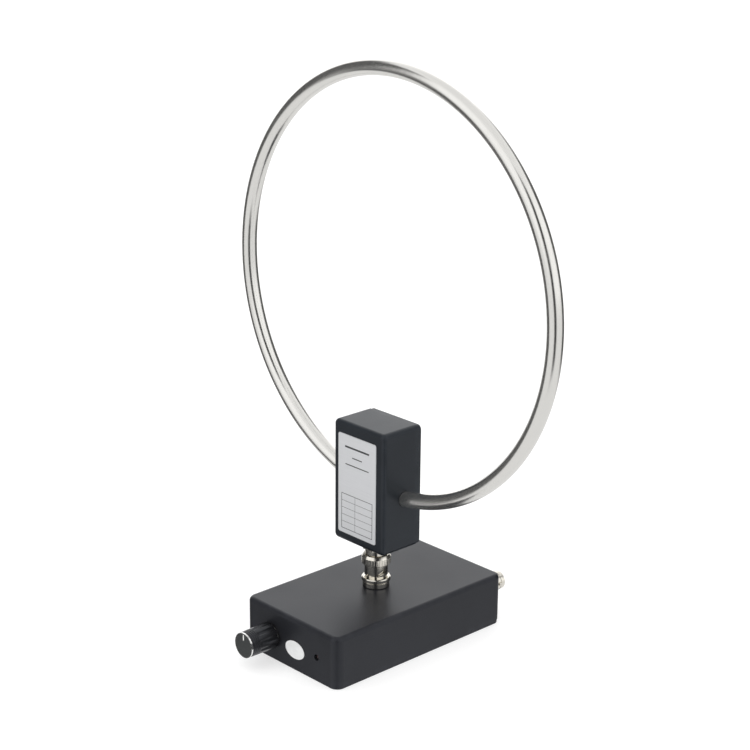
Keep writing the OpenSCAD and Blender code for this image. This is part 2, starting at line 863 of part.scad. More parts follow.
module output_jack_contact() {
    color("#d2a84c") on_rear(output_x, output_z) jack_contact(output_tail_l);
}

// Charging socket on the rear edge of the amplifier board
module charge_socket() {
    color("#bfc0c2") translate([charge_x - charge_w / 2, base_l / 2 - charge_recess - charge_l, board_top])
        difference() {
            cube([charge_w, charge_l, charge_h]);
            translate([charge_shell_t, charge_shell_t, charge_shell_t])
                cube([charge_w - 2 * charge_shell_t, charge_l, charge_h - 2 * charge_shell_t]);
        }
}

module charge_tongue() {
    tongue_w = charge_w * tongue_share;
    color("#1f1f20")
        translate([charge_x - tongue_w / 2, base_l / 2 - charge_recess - charge_l + charge_shell_t,
                   board_top + (charge_h - tongue_t) / 2])
            cube([tongue_w, charge_l - 2 * charge_shell_t - tongue_set_back, tongue_t]);
}

// Amplifier board with its screw holes
module amplifier_board() {
    color("#2e6b42") difference() {
        translate([board_left, board_front, board_z])
            cube([board_right - board_left, board_rear - board_front, board_t]);
        for (p = board_posts)
            translate([p.x, p.y, board_z - through])
                cylinder(d = board_screw_d + 2 * fit, h = board_t + 2 * through);
    }
}

// Chips, can and coils on the amplifier board
module amplifier_parts() {
    mid_x = (board_left + board_right) / 2;
    board_l = board_rear - board_front;
    color("#2a2b2d") translate([0, board_front, board_top]) {
        for (share = chip_shares)
            translate([mid_x - chip_w / 2, share * board_l, 0]) cube([chip_w, chip_l, chip_t]);
        for (s = [-1, 1])
            translate([mid_x + s * can_spread, can_share * board_l, 0]) cylinder(d = can_d, h = can_h);
        for (share = coil_shares)
            translate([board_left + coil_edge, share * board_l, 0]) cube([coil_w, coil_w, coil_h]);
    }
}

module board_screws() {
    color("#8b8c90") for (p = board_posts)
        translate([p.x, p.y, board_z]) rotate([180, 0, 0])
            pan_screw(board_screw_d, board_t + board_screw_l - fit, board_screw_head_d, board_screw_head_t);
}

// Wires from the lamp and from the output socket to the amplifier board
module base_leads() {
    led_y = -base_l / 2 + led_recess + led_l + led_tail_l;
    output_y = base_l / 2 - output_tail_l;
    pad_y = board_front + pad_inset;
    color("#b8402f") {
        for (s = [-1, 1]) {
            x0 = led_x + s * led_d / 4;
            x1 = s * led_d / 2;
            y1 = led_y + lead_bend + s * led_d / 4;
            wire([[x0, led_y, led_z], [x0, y1, led_z], [x1, y1, led_z],
                  [x1, pad_y, led_z], [x1, pad_y, board_top]]);
        }
        wire([[output_x, output_y, output_z], [output_x, output_y - lead_bend, output_z],
              [0, output_y - lead_bend, output_z], [0, output_y - lead_bend, board_top]]);
    }
}

// Open holder that stands on the bottom cover, with rails along the cell
module battery_holder() {
    color("#26272a") translate([battery_x, battery_y, base_cover_t]) {
        translate([-holder_w / 2, -holder_l / 2, 0]) cube([holder_w, holder_l, holder_floor]);
        for (s = [-1, 1]) {
            translate([s * (holder_w - holder_rail) / 2 - holder_rail / 2, -holder_l / 2, 0])
                cube([holder_rail, holder_l, holder_floor + holder_rail_h]);
            translate([-holder_w / 2, s * (holder_l - holder_end_t) / 2 - holder_end_t / 2, 0])
                cube([holder_w, holder_end_t, holder_floor + holder_end_h]);
        }
    }
}

module battery_contacts() {
    color("#c8a24a") for (s = [-1, 1])
        translate([battery_x, battery_y + s * plate_y, cell_z])
            cube([plate_w, plate_t, plate_h], center = true);
}

module battery_cell() {
    color("#3c6e9e") translate([battery_x, battery_y - cell_l / 2, cell_z])
        rotate([-90, 0, 0]) cylinder(d = cell_d, h = cell_l);
}

module battery_leads() {
    side_x = board_right + board_holder_gap / 2;
    pad_x = board_right - pad_inset;
    z = cell_z + plate_h / 4;
    color("#b8402f") for (s = [-1, 1]) {
        y0 = battery_y + s * plate_y;
        y1 = y0 - s * lead_in;
        wire([[battery_x - plate_w / 2, y0, z], [side_x, y0, z], [side_x, y1, z], [pad_x, y1, z],
              [pad_x, y1, board_top]]);
    }
}

// Bayonet coupling: a sleeve with two spiral slots under a grooved grip
module coupling_ring() {
    color("#ded8ca") on_top() difference() {
        union() {
            translate([0, 0, ring_bottom]) cylinder(d = sleeve_d, h = ring_l);
            translate([0, 0, grip_z]) eased_disc(grip_d, grip_l, grip_ease, grip_shoulder, grip_shoulder_h);
        }
        translate([0, 0, ring_bottom - through])
            cylinder(d = sleeve_bore_d, h = ring_wall_z - ring_bottom + through);
        translate([0, 0, ring_wall_z - through])
            cylinder(d = plug_neck_d + 4 * fit, h = ring_wall_t + 2 * through);
        for (i = [1 : grip_grooves])
            rotate(i * 360 / grip_grooves)
                translate([grip_d / 2 + groove_d * grip_groove_out, 0, grip_z - through])
                cylinder(d = groove_d, h = grip_l + 2 * through, $fn = 24);
        for (side = [0, 180])
            rotate(stud_angle + side) spiral_slot();
    }
}

// Slot that a stud follows while the ring turns and rises: a round rest for the stud, then a spiral
// that opens at the sleeve's lower edge
module spiral_slot() {
    slot_d = stud_d + 2 * stud_room;
    half_h = slot_d / 2 / cos(atan(ring_rise / (ring_turn * PI / 180 * sleeve_d / 2)));
    mouth_turn = asin(slot_d / sleeve_bore_d);
    steps = ceil(ring_turn / slot_step);
    sections = [
        for (i = [0 : steps]) slot_section(i * ring_turn / steps, half_h),
        slot_section(ring_turn + mouth_turn, half_h)
    ];
    sides = 4;
    translate([0, 0, stud_z]) rotate([0, 90, 0]) cylinder(d = slot_d + 2 * fit, h = grip_d);
    polyhedron(
        points = [for (s = sections) each s],
        faces = concat(
            [[for (k = [0 : sides - 1]) k]],
            [for (i = [0 : steps], k = [0 : sides - 1], tri = [0, 1])
                let (a = i * sides + k, b = i * sides + (k + 1) % sides)
                    tri == 0 ? [a, a + sides, b] : [b, a + sides, b + sides]],
            [[for (k = [sides - 1 : -1 : 0]) (steps + 1) * sides + k]]
        )
    );
}

// Upright section through the spiral slot at an angle, from inside the sleeve to outside it
function slot_section(angle, half_h) =
    let (z = stud_drop(angle), r = [sleeve_bore_d / 2 - through, grip_d / 2 + through])
        [for (p = [[r[0], -half_h], [r[1], -half_h], [r[1], half_h], [r[0], half_h]])
            [p[0] * cos(-angle), p[0] * sin(-angle), z + p[1]]];

module spring_washer() {
    color("#b5b6b8") on_top() translate([0, 0, spring_z])
        washer(sleeve_bore_d - 4 * run, plug_neck_d + 4 * run, spring_t);
}

// Plug: slotted tube inside the socket, collar, neck, round body, hexagon and thread
module plug_body() {
    color("#d3ccbd") on_top() difference() {
        union() {
            translate([0, 0, plug_tube_z])
                cylinder(d = plug_tube_d, h = plug_collar_z - plug_tube_z + plug_collar_t);
            translate([0, 0, plug_collar_z]) cylinder(d = barrel_d, h = plug_collar_t);
            translate([0, 0, plug_collar_z]) cylinder(d = plug_neck_d, h = plug_body_z - plug_collar_z);
            translate([0, 0, plug_body_z]) cylinder(d = plug_d, h = plug_l);
            translate([0, 0, plug_hex_z]) cylinder(d = plug_hex_af / cos(30), h = plug_hex_l, $fn = 6);
            translate([0, 0, plug_hex_z]) cylinder(d = thread_d, h = plug_hex_l + plug_thread_l);
        }
        translate([0, 0, plug_tube_z - through])
            cylinder(d = plug_tube_bore_d, h = plug_collar_z - plug_tube_z + through);
        translate([0, 0, plug_tube_z]) cylinder(d = core_bore_d, h = plug_core_l);
        for (turn = [0, 90])
            rotate(turn) translate([-plug_tube_d, -finger_slot_w / 2, plug_tube_z - through])
                cube([2 * plug_tube_d, finger_slot_w, finger_slot_l + through]);
    }
}

module plug_gasket() {
    color("#b5482f") on_top() translate([0, 0, gasket_z])
        washer(barrel_d - 2 * fit, plug_tube_d + 2 * fit, gasket_t);
}

module plug_insulator() {
    color("#f3f2ee") on_top() translate([0, 0, mouth_z])
        washer(plug_core_d, pin_d + 2 * run, plug_core_l - mouth_z);
}

module plug_pin() {
    color("#d2a84c") on_top() translate([0, 0, pin_tip_z]) cylinder(d = pin_d, h = pin_top_z - pin_tip_z);
}

module plug_washer() {
    color("#c9c4b8") on_top() translate([0, 0, head_gap + head_wall])
        washer(jack_washer_d, thread_d + 2 * fit, inner_washer_t);
}

module plug_nut() {
    color("#cfc9bc") on_top() translate([0, 0, head_gap + head_wall + inner_washer_t])
        hex_nut(fix_nut_af, thread_d + 2 * fit, fix_nut_t);
}

// Head box: tray with rests for the tube and posts for its board
module head_shell() {
    color("#333538") difference() {
        union() {
            in_head() tray(head_w, head_h, head_d - head_cover_t, head_wall, head_corner_r, head_edge_r,
                           head_boss_d, head_boss_inset, head_screw_d + 2 * fit, head_screw_l + fit);
            for (s = [-1, 1])
                tube_rest(s * rest_x);
            for (z = preamp_screws_z)
                bar([0, head_front_in - head_wall / 2, z], [0, preamp_y, z], post_d);
        }
        ring_arc(tube_d + 2 * fit);
        for (s = [-1, 1])
            clamp_places(s * rest_x)
                cylinder(d = clamp_screw_d + 2 * fit, h = 2 * clamp_screw_l, center = true);
        for (z = preamp_screws_z)
            bar([0, preamp_y - preamp_post_l + fit, z], [0, preamp_y + through, z], board_screw_d + 2 * fit);
        translate([0, 0, head_z - through]) cylinder(d = thread_d + 2 * fit, h = head_wall + 2 * through);
    }
}

// Block on the head's front wall that the tube lies in
module tube_rest(x) {
    translate([x - clamp_w / 2, head_front_in - head_wall / 2, tube_height(x) - clamp_h / 2])
        cube([clamp_w, loop_y - rest_split - head_front_in + head_wall / 2, clamp_h]);
}

// Lowest arc of the ring at a given thickness, for the cuts that the tube passes through
module ring_arc(d) {
    sweep = 2 * asin((head_w / 2 + abs(loop_x) + tube_d) / loop_r);
    translate([loop_x, loop_y, loop_z]) rotate([90, 0, 0]) rotate(-90 - sweep / 2)
        rotate_extrude(angle = sweep) translate([loop_r, 0]) circle(d = d);
}

// Two screw places on the rear of a clamp, with the screw pointing forwards
module clamp_places(x) {
    for (s = [-1, 1])
        translate([x, clamp_back_y, tube_height(x) + s * clamp_screw_out]) rotate([-90, 0, 0])
            translate([0, 0, -clamp_back_y + loop_y]) children();
}

module head_back_cover() {
    color("#2d2f32") in_head()
        cover(head_w, head_h, head_cover_t, head_wall, head_corner_r, head_boss_d,
              head_boss_inset, head_screw_d);
}

module head_cover_screws() {
    color("#55565a") in_head() for (p = corners(head_w, head_h, head_boss_inset))
        translate([p.x, p.y, fit - head_cover_t]) cover_screw(head_screw_d, head_screw_l);
}

module head_label() {
    color("#dcdee0") translate([label_x, -head_d / 2, head_z + label_rise]) rotate([90, 0, 0])
        linear_extrude(label_t) round_rect(label_w, label_h, label_corner_r);
}

// Steel tube bent into a ring, with both ends inside the head
module loop_tube() {
    color("#c9c9c7") translate([loop_x, loop_y, loop_z]) rotate([90, 0, 0]) rotate(end_right)
        rotate_extrude(angle = end_left - end_right) translate([loop_r, 0]) difference() {
            circle(d = tube_d);
            circle(d = tube_bore_d);
        }
}

// Solder lugs pushed into the tube's ends
module loop_lugs() {
    color("#c98f5a") translate([loop_x, loop_y, loop_z]) rotate([90, 0, 0])
        for (lug = [[end_right, -1], [end_left, 1]])
            rotate(lug[0]) translate([loop_r, 0, 0]) {
                rotate([lug[1] * 90, 0, 0]) cylinder(d = tube_bore_d - 2 * fit, h = lug_in);
                translate([-lug_tag_t / 2, lug[1] * lug_out / 2 - lug_out / 2, -lug_tag_w / 2])
                    cube([lug_tag_t, lug_out, lug_tag_w]);
            }
}

module tube_clamps() {
    color("#4a4c50") for (s = [-1, 1]) {
        x = s * rest_x;
        difference() {
            translate([x - clamp_w / 2, loop_y + rest_split, tube_height(x) - clamp_h / 2])
                cube([clamp_w, clamp_back_y - loop_y - rest_split, clamp_h]);
            ring_arc(tube_d + 2 * fit);
            clamp_places(x)
                cylinder(d = clamp_screw_d + 2 * fit, h = 2 * clamp_screw_l + tube_d, center = true);
        }
    }
}

module clamp_screws() {
    color("#8b8c90") for (s = [-1, 1])
        clamp_places(s * rest_x) translate([0, 0, clamp_back_y - loop_y])
            pan_screw(clamp_screw_d, clamp_back_y - loop_y + clamp_screw_l - fit, clamp_screw_head_d,
                      clamp_screw_head_t);
}

module preamp_board() {
    color("#2e6b42") difference() {
        translate([-preamp_w / 2, preamp_y, preamp_bottom]) cube([preamp_w, board_t, preamp_h]);
        for (z = preamp_screws_z)
            bar([0, preamp_y - through, z], [0, preamp_back + through, z], board_screw_d + 2 * fit);
    }
}

module preamp_screws() {
    color("#8b8c90") for (z = preamp_screws_z)
        translate([0, preamp_back, z]) rotate([-90, 0, 0])
            pan_screw(board_screw_d, board_t + preamp_post_l - 2 * fit,
                      board_screw_head_d, board_screw_head_t);
}

// Toroidal core that matches the loop to the preamplifier
module matching_core() {
    color("#6b6660") translate([0, preamp_back, preamp_mid]) rotate([-90, 0, 0])
        washer(core_d, core_d / 2, core_t);
}

// Wires from the two lugs and from the plug's pin to the preamplifier board
module head_leads() {
    pin_z = base_h + pin_top_z;
    low_z = preamp_bottom - lead_drop;
    side = core_d / 3;
    color("#b8402f") {
        for (s = [-1, 1]) {
            x = s * (feed_gap / 2 - lug_out / 2);
            z0 = tube_height(x) + lug_tag_t / 2 + fit;
            wire([[x, loop_y, z0], [x, loop_y, solder_z], [x, preamp_back, solder_z]]);
        }
        wire([[0, 0, pin_z], [0, 0, low_z], [side, 0, low_z],
              [side, 0, solder_z], [side, preamp_back, solder_z]]);
    }
}

base_shell();
base_bottom_cover();
base_cover_screws();
front_sticker();
indicator_led();
gain_knob();
knob_ring();
knob_cap();
knob_pointer();
pot_shaft();
pot_bushing();
pot_case();
pot_washer();
pot_nut();
loop_jack_body();
loop_jack_washer();
loop_jack_nut();
loop_jack_insulator();
loop_jack_contact();
output_jack_body();
output_jack_washer();
output_jack_nut();
output_jack_insulator();
output_jack_contact();
charge_socket();
charge_tongue();
amplifier_board();
amplifier_parts();
board_screws();
base_leads();
battery_holder();
battery_contacts();
battery_cell();
battery_leads();
coupling_ring();
spring_washer();
plug_body();
plug_gasket();
plug_insulator();
plug_pin();
plug_washer();
plug_nut();
head_shell();
head_back_cover();
head_cover_screws();
head_label();
loop_tube();
loop_lugs();
tube_clamps();
clamp_screws();
preamp_board();
preamp_screws();
matching_core();
head_leads();
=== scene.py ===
"""Desk-top receiving loop: finishes, fine pieces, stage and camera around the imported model."""
import math

import bmesh
import bpy
from bpy.props import FloatProperty, FloatVectorProperty, IntProperty, PointerProperty
from mathutils import Matrix, Vector


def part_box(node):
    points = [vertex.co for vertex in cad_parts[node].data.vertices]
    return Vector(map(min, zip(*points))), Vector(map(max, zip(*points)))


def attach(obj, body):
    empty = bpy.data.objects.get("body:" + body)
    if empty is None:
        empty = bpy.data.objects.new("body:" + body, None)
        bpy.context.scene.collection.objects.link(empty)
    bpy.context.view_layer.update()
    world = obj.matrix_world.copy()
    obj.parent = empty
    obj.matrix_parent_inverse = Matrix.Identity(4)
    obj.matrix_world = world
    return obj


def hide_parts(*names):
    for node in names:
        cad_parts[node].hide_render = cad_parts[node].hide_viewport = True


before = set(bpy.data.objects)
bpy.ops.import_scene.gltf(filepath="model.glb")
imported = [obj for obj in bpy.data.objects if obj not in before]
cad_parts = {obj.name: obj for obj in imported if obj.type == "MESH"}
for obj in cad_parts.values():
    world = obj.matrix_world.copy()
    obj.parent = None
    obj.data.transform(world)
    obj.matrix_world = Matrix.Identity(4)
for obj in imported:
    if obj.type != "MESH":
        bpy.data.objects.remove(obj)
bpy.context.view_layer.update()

bl_info = {
    "name": "Receiving Loop",
    "version": (1, 0, 0),
    "blender": (4, 5, 0),
    "location": "View3D > Sidebar > Loop",
    "description": "Dresses the receiving loop's solids and sets its stage",
    "category": "Object",
}

MM = 0.001
FULL_TURN = 2 * math.pi
# The photograph is taken to be square, this many pixels each way
FRAME_PIXELS = 750
SENSOR_MM = 36
FLOOR_SIDES = 96
# Folds sharper than this stay sharp on the smooth pieces
SHARP_FOLD = math.radians(35)
# Noise swings about this value
NOISE_MIDDLE = 0.5
WHITE = (1.0, 1.0, 1.0)
BLACK = (0.0, 0.0, 0.0)
# The black plastics mirror light a little cool
COOL_SHEEN = (0.85, 0.89, 0.98)

LOOP_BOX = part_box("loop_tube")
LABEL_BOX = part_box("head_label")
HEAD_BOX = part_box("head_shell")
BASE_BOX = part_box("base_shell")
KNOB_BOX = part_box("gain_knob")
CORE_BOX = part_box("matching_core")
OUTPUT_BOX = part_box("output_jack_body")
CELL_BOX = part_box("battery_cell")


def middle(box):
    """Middle of a pair of corners."""
    return (box[0] + box[1]) / 2


def toward(azimuth, elevation):
    """Direction at an angle from the front towards +X and an angle over the horizon."""
    level = math.cos(elevation)
    return Vector((math.sin(azimuth) * level, -math.cos(azimuth) * level, math.sin(elevation)))


TUBE_R = (LOOP_BOX[1].y - LOOP_BOX[0].y) / 2
LOOP_R = (LOOP_BOX[1].x - LOOP_BOX[0].x) / 2 - TUBE_R
LOOP_MIDDLE = Vector((middle(LOOP_BOX).x, middle(LOOP_BOX).y, LOOP_BOX[1].z - TUBE_R - LOOP_R))
KNOB_AXIS = middle(KNOB_BOX)
OUTPUT_AXIS = middle(OUTPUT_BOX)
# The plug and the top socket stand on the row's own Z axis
PLUG_AXIS = (0.0, 0.0, 0.0)


def colour_prop(name, words, value):
    """A colour that a user may change."""
    return FloatVectorProperty(
        name=name, description=words, subtype="COLOR", size=3, min=0, max=1, default=value)


def length_prop(name, words, value):
    """A length in metres that a user may change."""
    return FloatProperty(
        name=name, description=words, subtype="DISTANCE", unit="LENGTH", precision=5, default=value)


def angle_prop(name, words, degrees):
    """An angle that a user may change."""
    return FloatProperty(
        name=name, description=words, subtype="ANGLE", unit="ROTATION", default=math.radians(degrees))


def panel_prop(name, degrees):
    """The angles of an upright panel of the room, which a user may change."""
    return FloatVectorProperty(
        name=name, description="Azimuth, half width, soft edge, low edge and high edge", size=5,
        unit="ROTATION", default=[math.radians(angle) for angle in degrees])


def light_prop(name, words, value):
    """A brightness that a user may change."""
    return FloatProperty(name=name, description=words, min=0, default=value)


def count_prop(name, words, value, least):
    """A whole number that a user may change."""
    return IntProperty(name=name, description=words, min=least, default=value)


class LoopColours(bpy.types.PropertyGroup):
    """Colours of the finishes."""

    base_black: colour_prop("Base plastic", "Moulded plastic of the base", (0.0142, 0.0148, 0.0178))
    head_black: colour_prop("Head plastic", "Moulded plastic of the head", (0.0130, 0.0158, 0.0194))
    knob_black: colour_prop("Knob plastic", "Body of the gain knob", (0.0068, 0.0068, 0.0076))
    knob_bright: colour_prop("Knob ring", "Bright ring of the gain knob", (0.86, 0.86, 0.85))
    cap_grey: colour_prop("Knob cap", "Face of the gain knob", (0.037, 0.039, 0.038))
    pointer: colour_prop("Pointer", "White line on the knob's face", (0.85, 0.85, 0.83))
    control: colour_prop("Control metal", "Shaft, bushing and case of the control", (0.62, 0.61, 0.58))
    nickel: colour_prop("Nickel", "Plate on the connectors", (0.74, 0.71, 0.645))
    loop_steel: colour_prop("Loop steel", "Tube of the ring", (0.71, 0.70, 0.675))
    zinc: colour_prop("Screw zinc", "Plate on the screws", (0.30, 0.30, 0.31))
    gold: colour_prop("Contact plate", "Plate on the contacts", (0.83, 0.62, 0.28))
    insulator: colour_prop("Insulator", "White insulators of the connectors", (0.80, 0.80, 0.77))
    inlet: colour_prop("Charging socket", "Shell of the charging socket", (0.66, 0.66, 0.65))
    tongue: colour_prop("Socket tongue", "Tongue of the charging socket", (0.02, 0.02, 0.021))
    spring: colour_prop("Spring steel", "Spring washer in the coupling", (0.46, 0.45, 0.43))
    rubber: colour_prop("Rubber", "Gasket of the plug", (0.30, 0.075, 0.045))
    film: colour_prop("Label film", "Silvered film of the label", (0.723, 0.731, 0.748))
    ink: colour_prop("Label ink", "Printed rules of the label", (0.035, 0.036, 0.040))
    paper: colour_prop("Sticker", "White film of the oval sticker", (0.802, 0.808, 0.808))
    # Deep red lens darkened to near black: partly its own colour, partly painted shade of the hole it sits
    # in
    lamp: colour_prop("Lamp", "Lens of the indicator lamp", (0.035, 0.010, 0.010))
    clamp: colour_prop("Clamp", "Clamps that hold the tube", (0.035, 0.035, 0.037))
    lug: colour_prop("Lug copper", "Lugs in the tube's ends", (0.72, 0.46, 0.30))
    laminate: colour_prop("Laminate", "Lacquer of the circuit boards", (0.020, 0.110, 0.048))
    part_black: colour_prop("Board parts", "Board parts and the cell's holder", (0.022, 0.022, 0.023))
    wire: colour_prop("Wire", "Insulation of the leads", (0.46, 0.04, 0.03))
    sleeve: colour_prop("Cell sleeve", "Shrink sleeve of the cell", (0.05, 0.17, 0.36))
    sleeve_end: colour_prop("Sleeve end", "Pale band at the end of the cell's sleeve", (0.62, 0.62, 0.60))
    core: colour_prop("Core", "Matching core", (0.13, 0.12, 0.115))
    enamel: colour_prop("Enamel", "Wire wound on the core", (0.62, 0.27, 0.11))
    floor: colour_prop("Floor", "Pale floor of the stage", (0.45, 0.45, 0.45))


class LoopDetails(bpy.types.PropertyGroup):
    """Sizes of the fine pieces."""

    loop_steps: count_prop("Ring steps", "Sections along the ring", 320, 32)
    tube_steps: count_prop("Tube steps", "Points round the tube", 40, 12)
    tube_wall: length_prop("Tube wall", "Wall of the ring's tube", 0.8 * MM)
    feed_gap: length_prop("Feed gap", "Gap between the tube's ends", 14 * MM)
    flutes: count_prop("Flutes", "Grip flutes round the knob", 10, 4)
    flute_radius: length_prop("Flute radius", "Hollow of each flute", 1.71 * MM)
    flute_depth: length_prop("Flute depth", "Depth of the flutes at the knob's rear", 0.68 * MM)
    band_length: length_prop("Grooved band", "Length of the grooved band", 4.6 * MM)
    band_grooves: count_prop("Band grooves", "Grooves in the knob's band", 4, 1)
    groove_depth: length_prop("Groove depth", "Depth of the band's grooves", 0.2 * MM)
    knob_face: length_prop("Knob face", "Diameter of the knob at its face", 12.4 * MM)
    rule_width: length_prop("Rule width", "Width of the label's printed rules", 0.28 * MM)
    ink_height: length_prop("Ink height", "Height of the label's ink", 0.02 * MM)
    core_turns: count_prop("Core turns", "Turns of wire on the core", 14, 3)
    core_wire: length_prop("Core wire", "Wire wound on the core", 0.35 * MM)


class LoopStage(bpy.types.PropertyGroup):
    """Camera, floor and lights."""

    azimuth: angle_prop("Azimuth", "Camera turned from the front towards +X", 46.679)
    elevation: angle_prop("Elevation", "Camera over the horizon", 18.457)
    roll: angle_prop("Roll", "Camera turned about its view", 0.506)
    distance: length_prop("Distance", "Camera to the middle of the view", 1.00514)
    target: FloatVectorProperty(
        name="Target", description="Middle of the view", subtype="TRANSLATION", unit="LENGTH",
        default=(-0.08247, 0.07588, 0.09564))
    focal_pixels: FloatProperty(
        name="Focal length", description="In pixels of the photograph", default=1897.128)
    floor_reach: length_prop("Floor reach", "Radius of the floor and of the wall round it", 9.0)
    floor_drop: length_prop("Floor drop", "Floor under the part's lowest point", 0.2 * MM)
    wall_height: length_prop("Wall height", "Height of the wall round the floor", 5.0)
    floor_glow: light_prop("Floor glow", "Light that the floor gives itself", 0.60)
    top_light: light_prop("Top light", "Strength of the soft top light", 1.0)
    top_spread: angle_prop("Top spread", "Width of the soft top light", 120.0)
    low_light: light_prop("Low room", "Brightness under the horizon", 0.94)
    room_light: light_prop("Room", "Brightness over the horizon", 1.25)
    ceiling_light: light_prop("Ceiling", "Brightness of the ceiling", 1.0)
    window_light: light_prop("Window", "Brightness of the soft window behind", 1.55)
    window_width: angle_prop("Window width", "From the middle of the window to its edge", 24.0)
    window_blur: angle_prop("Window blur", "Soft edge of the window", 16.0)
    side_light: light_prop("Side light", "Brightness of the dim side panel", 0.085)
    side_panel: panel_prop("Side panel", (-70.8, 28.0, 6.0, -33.0, 44.0))
    crew_light: light_prop("Crew light", "Brightness round the camera", 0.0)
    crew_panel: panel_prop("Crew panel", (43.0, 14.0, 11.0, -29.0, 44.0))
    back_light: light_prop("Back light", "Brightness of the dim back panel", 0.06)
    back_panel: panel_prop("Back panel", (168.0, 26.0, 12.0, -26.0, 38.0))


class Value:
    """A number, colour or vector in a shader. Arithmetic on numbers adds Math nodes."""

    def __init__(self, nodes, socket):
        self.nodes = nodes
        self.socket = socket

    def __add__(self, other):
        return self.nodes.math("ADD", self, other)

    def __sub__(self, other):
        return self.nodes.math("SUBTRACT", self, other)

    def __rsub__(self, other):
        return self.nodes.math("SUBTRACT", other, self)

    def __mul__(self, other):
        return self.nodes.math("MULTIPLY", self, other)

    def __truediv__(self, other):
        return self.nodes.math("DIVIDE", self, other)

    def __rtruediv__(self, other):
        return self.nodes.math("DIVIDE", other, self)

    __radd__ = __add__
    __rmul__ = __mul__


class Nodes:
    """Adds nodes to a material's or a world's tree."""

    def __init__(self, tree):
        self.tree = tree

    def put(self, socket, value):
        """Links a value to a socket, or sets the socket to a constant."""
        if isinstance(value, Value):
            self.tree.links.new(value.socket, socket)
        elif socket.type == "RGBA" and len(value) == 3:
            socket.default_value = (*value, 1)
        else:
            socket.default_value = value

    def node(self, kind, settings, sockets, output=0):
        """A node of a type, with its settings made first and then its sockets."""
        made = self.tree.nodes.new(kind)
        for key, value in settings.items():
            setattr(made, key, value)
        for key, value in sockets.items():
            self.put(made.inputs[key], value)
        return Value(self, made.outputs[output])

    def math(self, operation, *values):
        """A Math node on one or two values."""
        return self.node("ShaderNodeMath", {"operation": operation}, dict(enumerate(values)))

    def least(self, a, b):
        """The smaller of two values."""
        return self.math("MINIMUM", a, b)

    def most(self, a, b):
        """The larger of two values."""
        return self.math("MAXIMUM", a, b)

    def reach(self, a, b):
        """Length of the long side over two square sides."""
        return self.math("SQRT", a * a + b * b)

    def axes(self, vector):
        """The three parts of a vector."""
        first = self.node("ShaderNodeSeparateXYZ", {}, {0: vector})
        return [Value(self, out) for out in first.socket.node.outputs]

    def vector(self, x, y, z):
        """A vector from three values."""
        return self.node("ShaderNodeCombineXYZ", {}, {0: x, 1: y, 2: z})

    def place(self):
        """Where a point lies in the row frame, in metres."""
        return self.node("ShaderNodeTexCoord", {}, {}, "Object")

    def noise(self, where, scale, detail):
        """Soft noise about one half, with a scale in lumps to each unit of place."""
        sockets = {"Vector": where, "Scale": scale, "Detail": detail}
        return self.node("ShaderNodeTexNoise", {}, sockets, "Fac")

    def swing(self, noise, width):
        """Noise as a swing about nought, so wide in all."""
        return width * (noise - NOISE_MIDDLE)

    def spread(self, value, low, high, to_low=0.0, to_high=1.0):
        """A smooth step of a value between two limits."""
        sockets = {"Value": value, "From Min": low, "From Max": high, "To Min": to_low, "To Max": to_high}
        return self.node("ShaderNodeMapRange", {"interpolation_type": "SMOOTHSTEP"}, sockets)

    def blend(self, factor, a, b):
        """A colour between two colours."""
        return self.node("ShaderNodeMix", {"data_type": "RGBA"}, {0: factor, 6: a, 7: b}, 2)

    def shades(self, factor, colour, start, end):
        """A colour scaled by something between a start and an end."""
        return self.blend(factor, scaled(colour, start), scaled(colour, end))

    def from_axis(self, where, middle_point, axis):
        """Distance from a line along an axis and place along it."""
        parts = [part - centre for part, centre in zip(self.axes(where), middle_point)]
        along = parts.pop("XYZ".index(axis))
        return self.reach(*parts), along


class Finish(Nodes):
    """A material with one Principled shader."""

    def __init__(self, name, **constants):
        self.material = bpy.data.materials.new(name)
        self.material.use_nodes = True
        super().__init__(self.material.node_tree)
        self.shader = self.tree.nodes["Principled BSDF"]
        self.feed(**constants)

    def feed(self, **sockets):
        """Sets or links the shader's sockets, their names with underscores for spaces."""
        for name, value in sockets.items():
            self.put(self.shader.inputs[name.replace("_", " ")], value)

    def bump(self, height, depth):
        """Raises the surface by a height from 0 to 1, with a depth in metres."""
        sockets = {"Height": height, "Distance": depth, "Strength": 1.0}
        self.feed(Normal=self.node("ShaderNodeBump", {}, sockets))


def scaled(colour, factor):
    """A colour made darker or lighter."""
    return tuple(min(1.0, part * factor) for part in colour)


def edge_nearness(finish, where, box, width):
    """How near a point lies to an edge of a box: 1 on the edge and 0 further in than a width."""
    near = []
    for part, low, high in zip(finish.axes(where), *box):
        inside = finish.least(part - low, high - part)
        near.append(finish.spread(inside, 0.0, width, to_low=1.0, to_high=0.0))
    pairs = [finish.least(near[i], near[j]) for i, j in ((0, 1), (1, 2), (0, 2))]
    return finish.most(finish.most(pairs[0], pairs[1]), pairs[2])


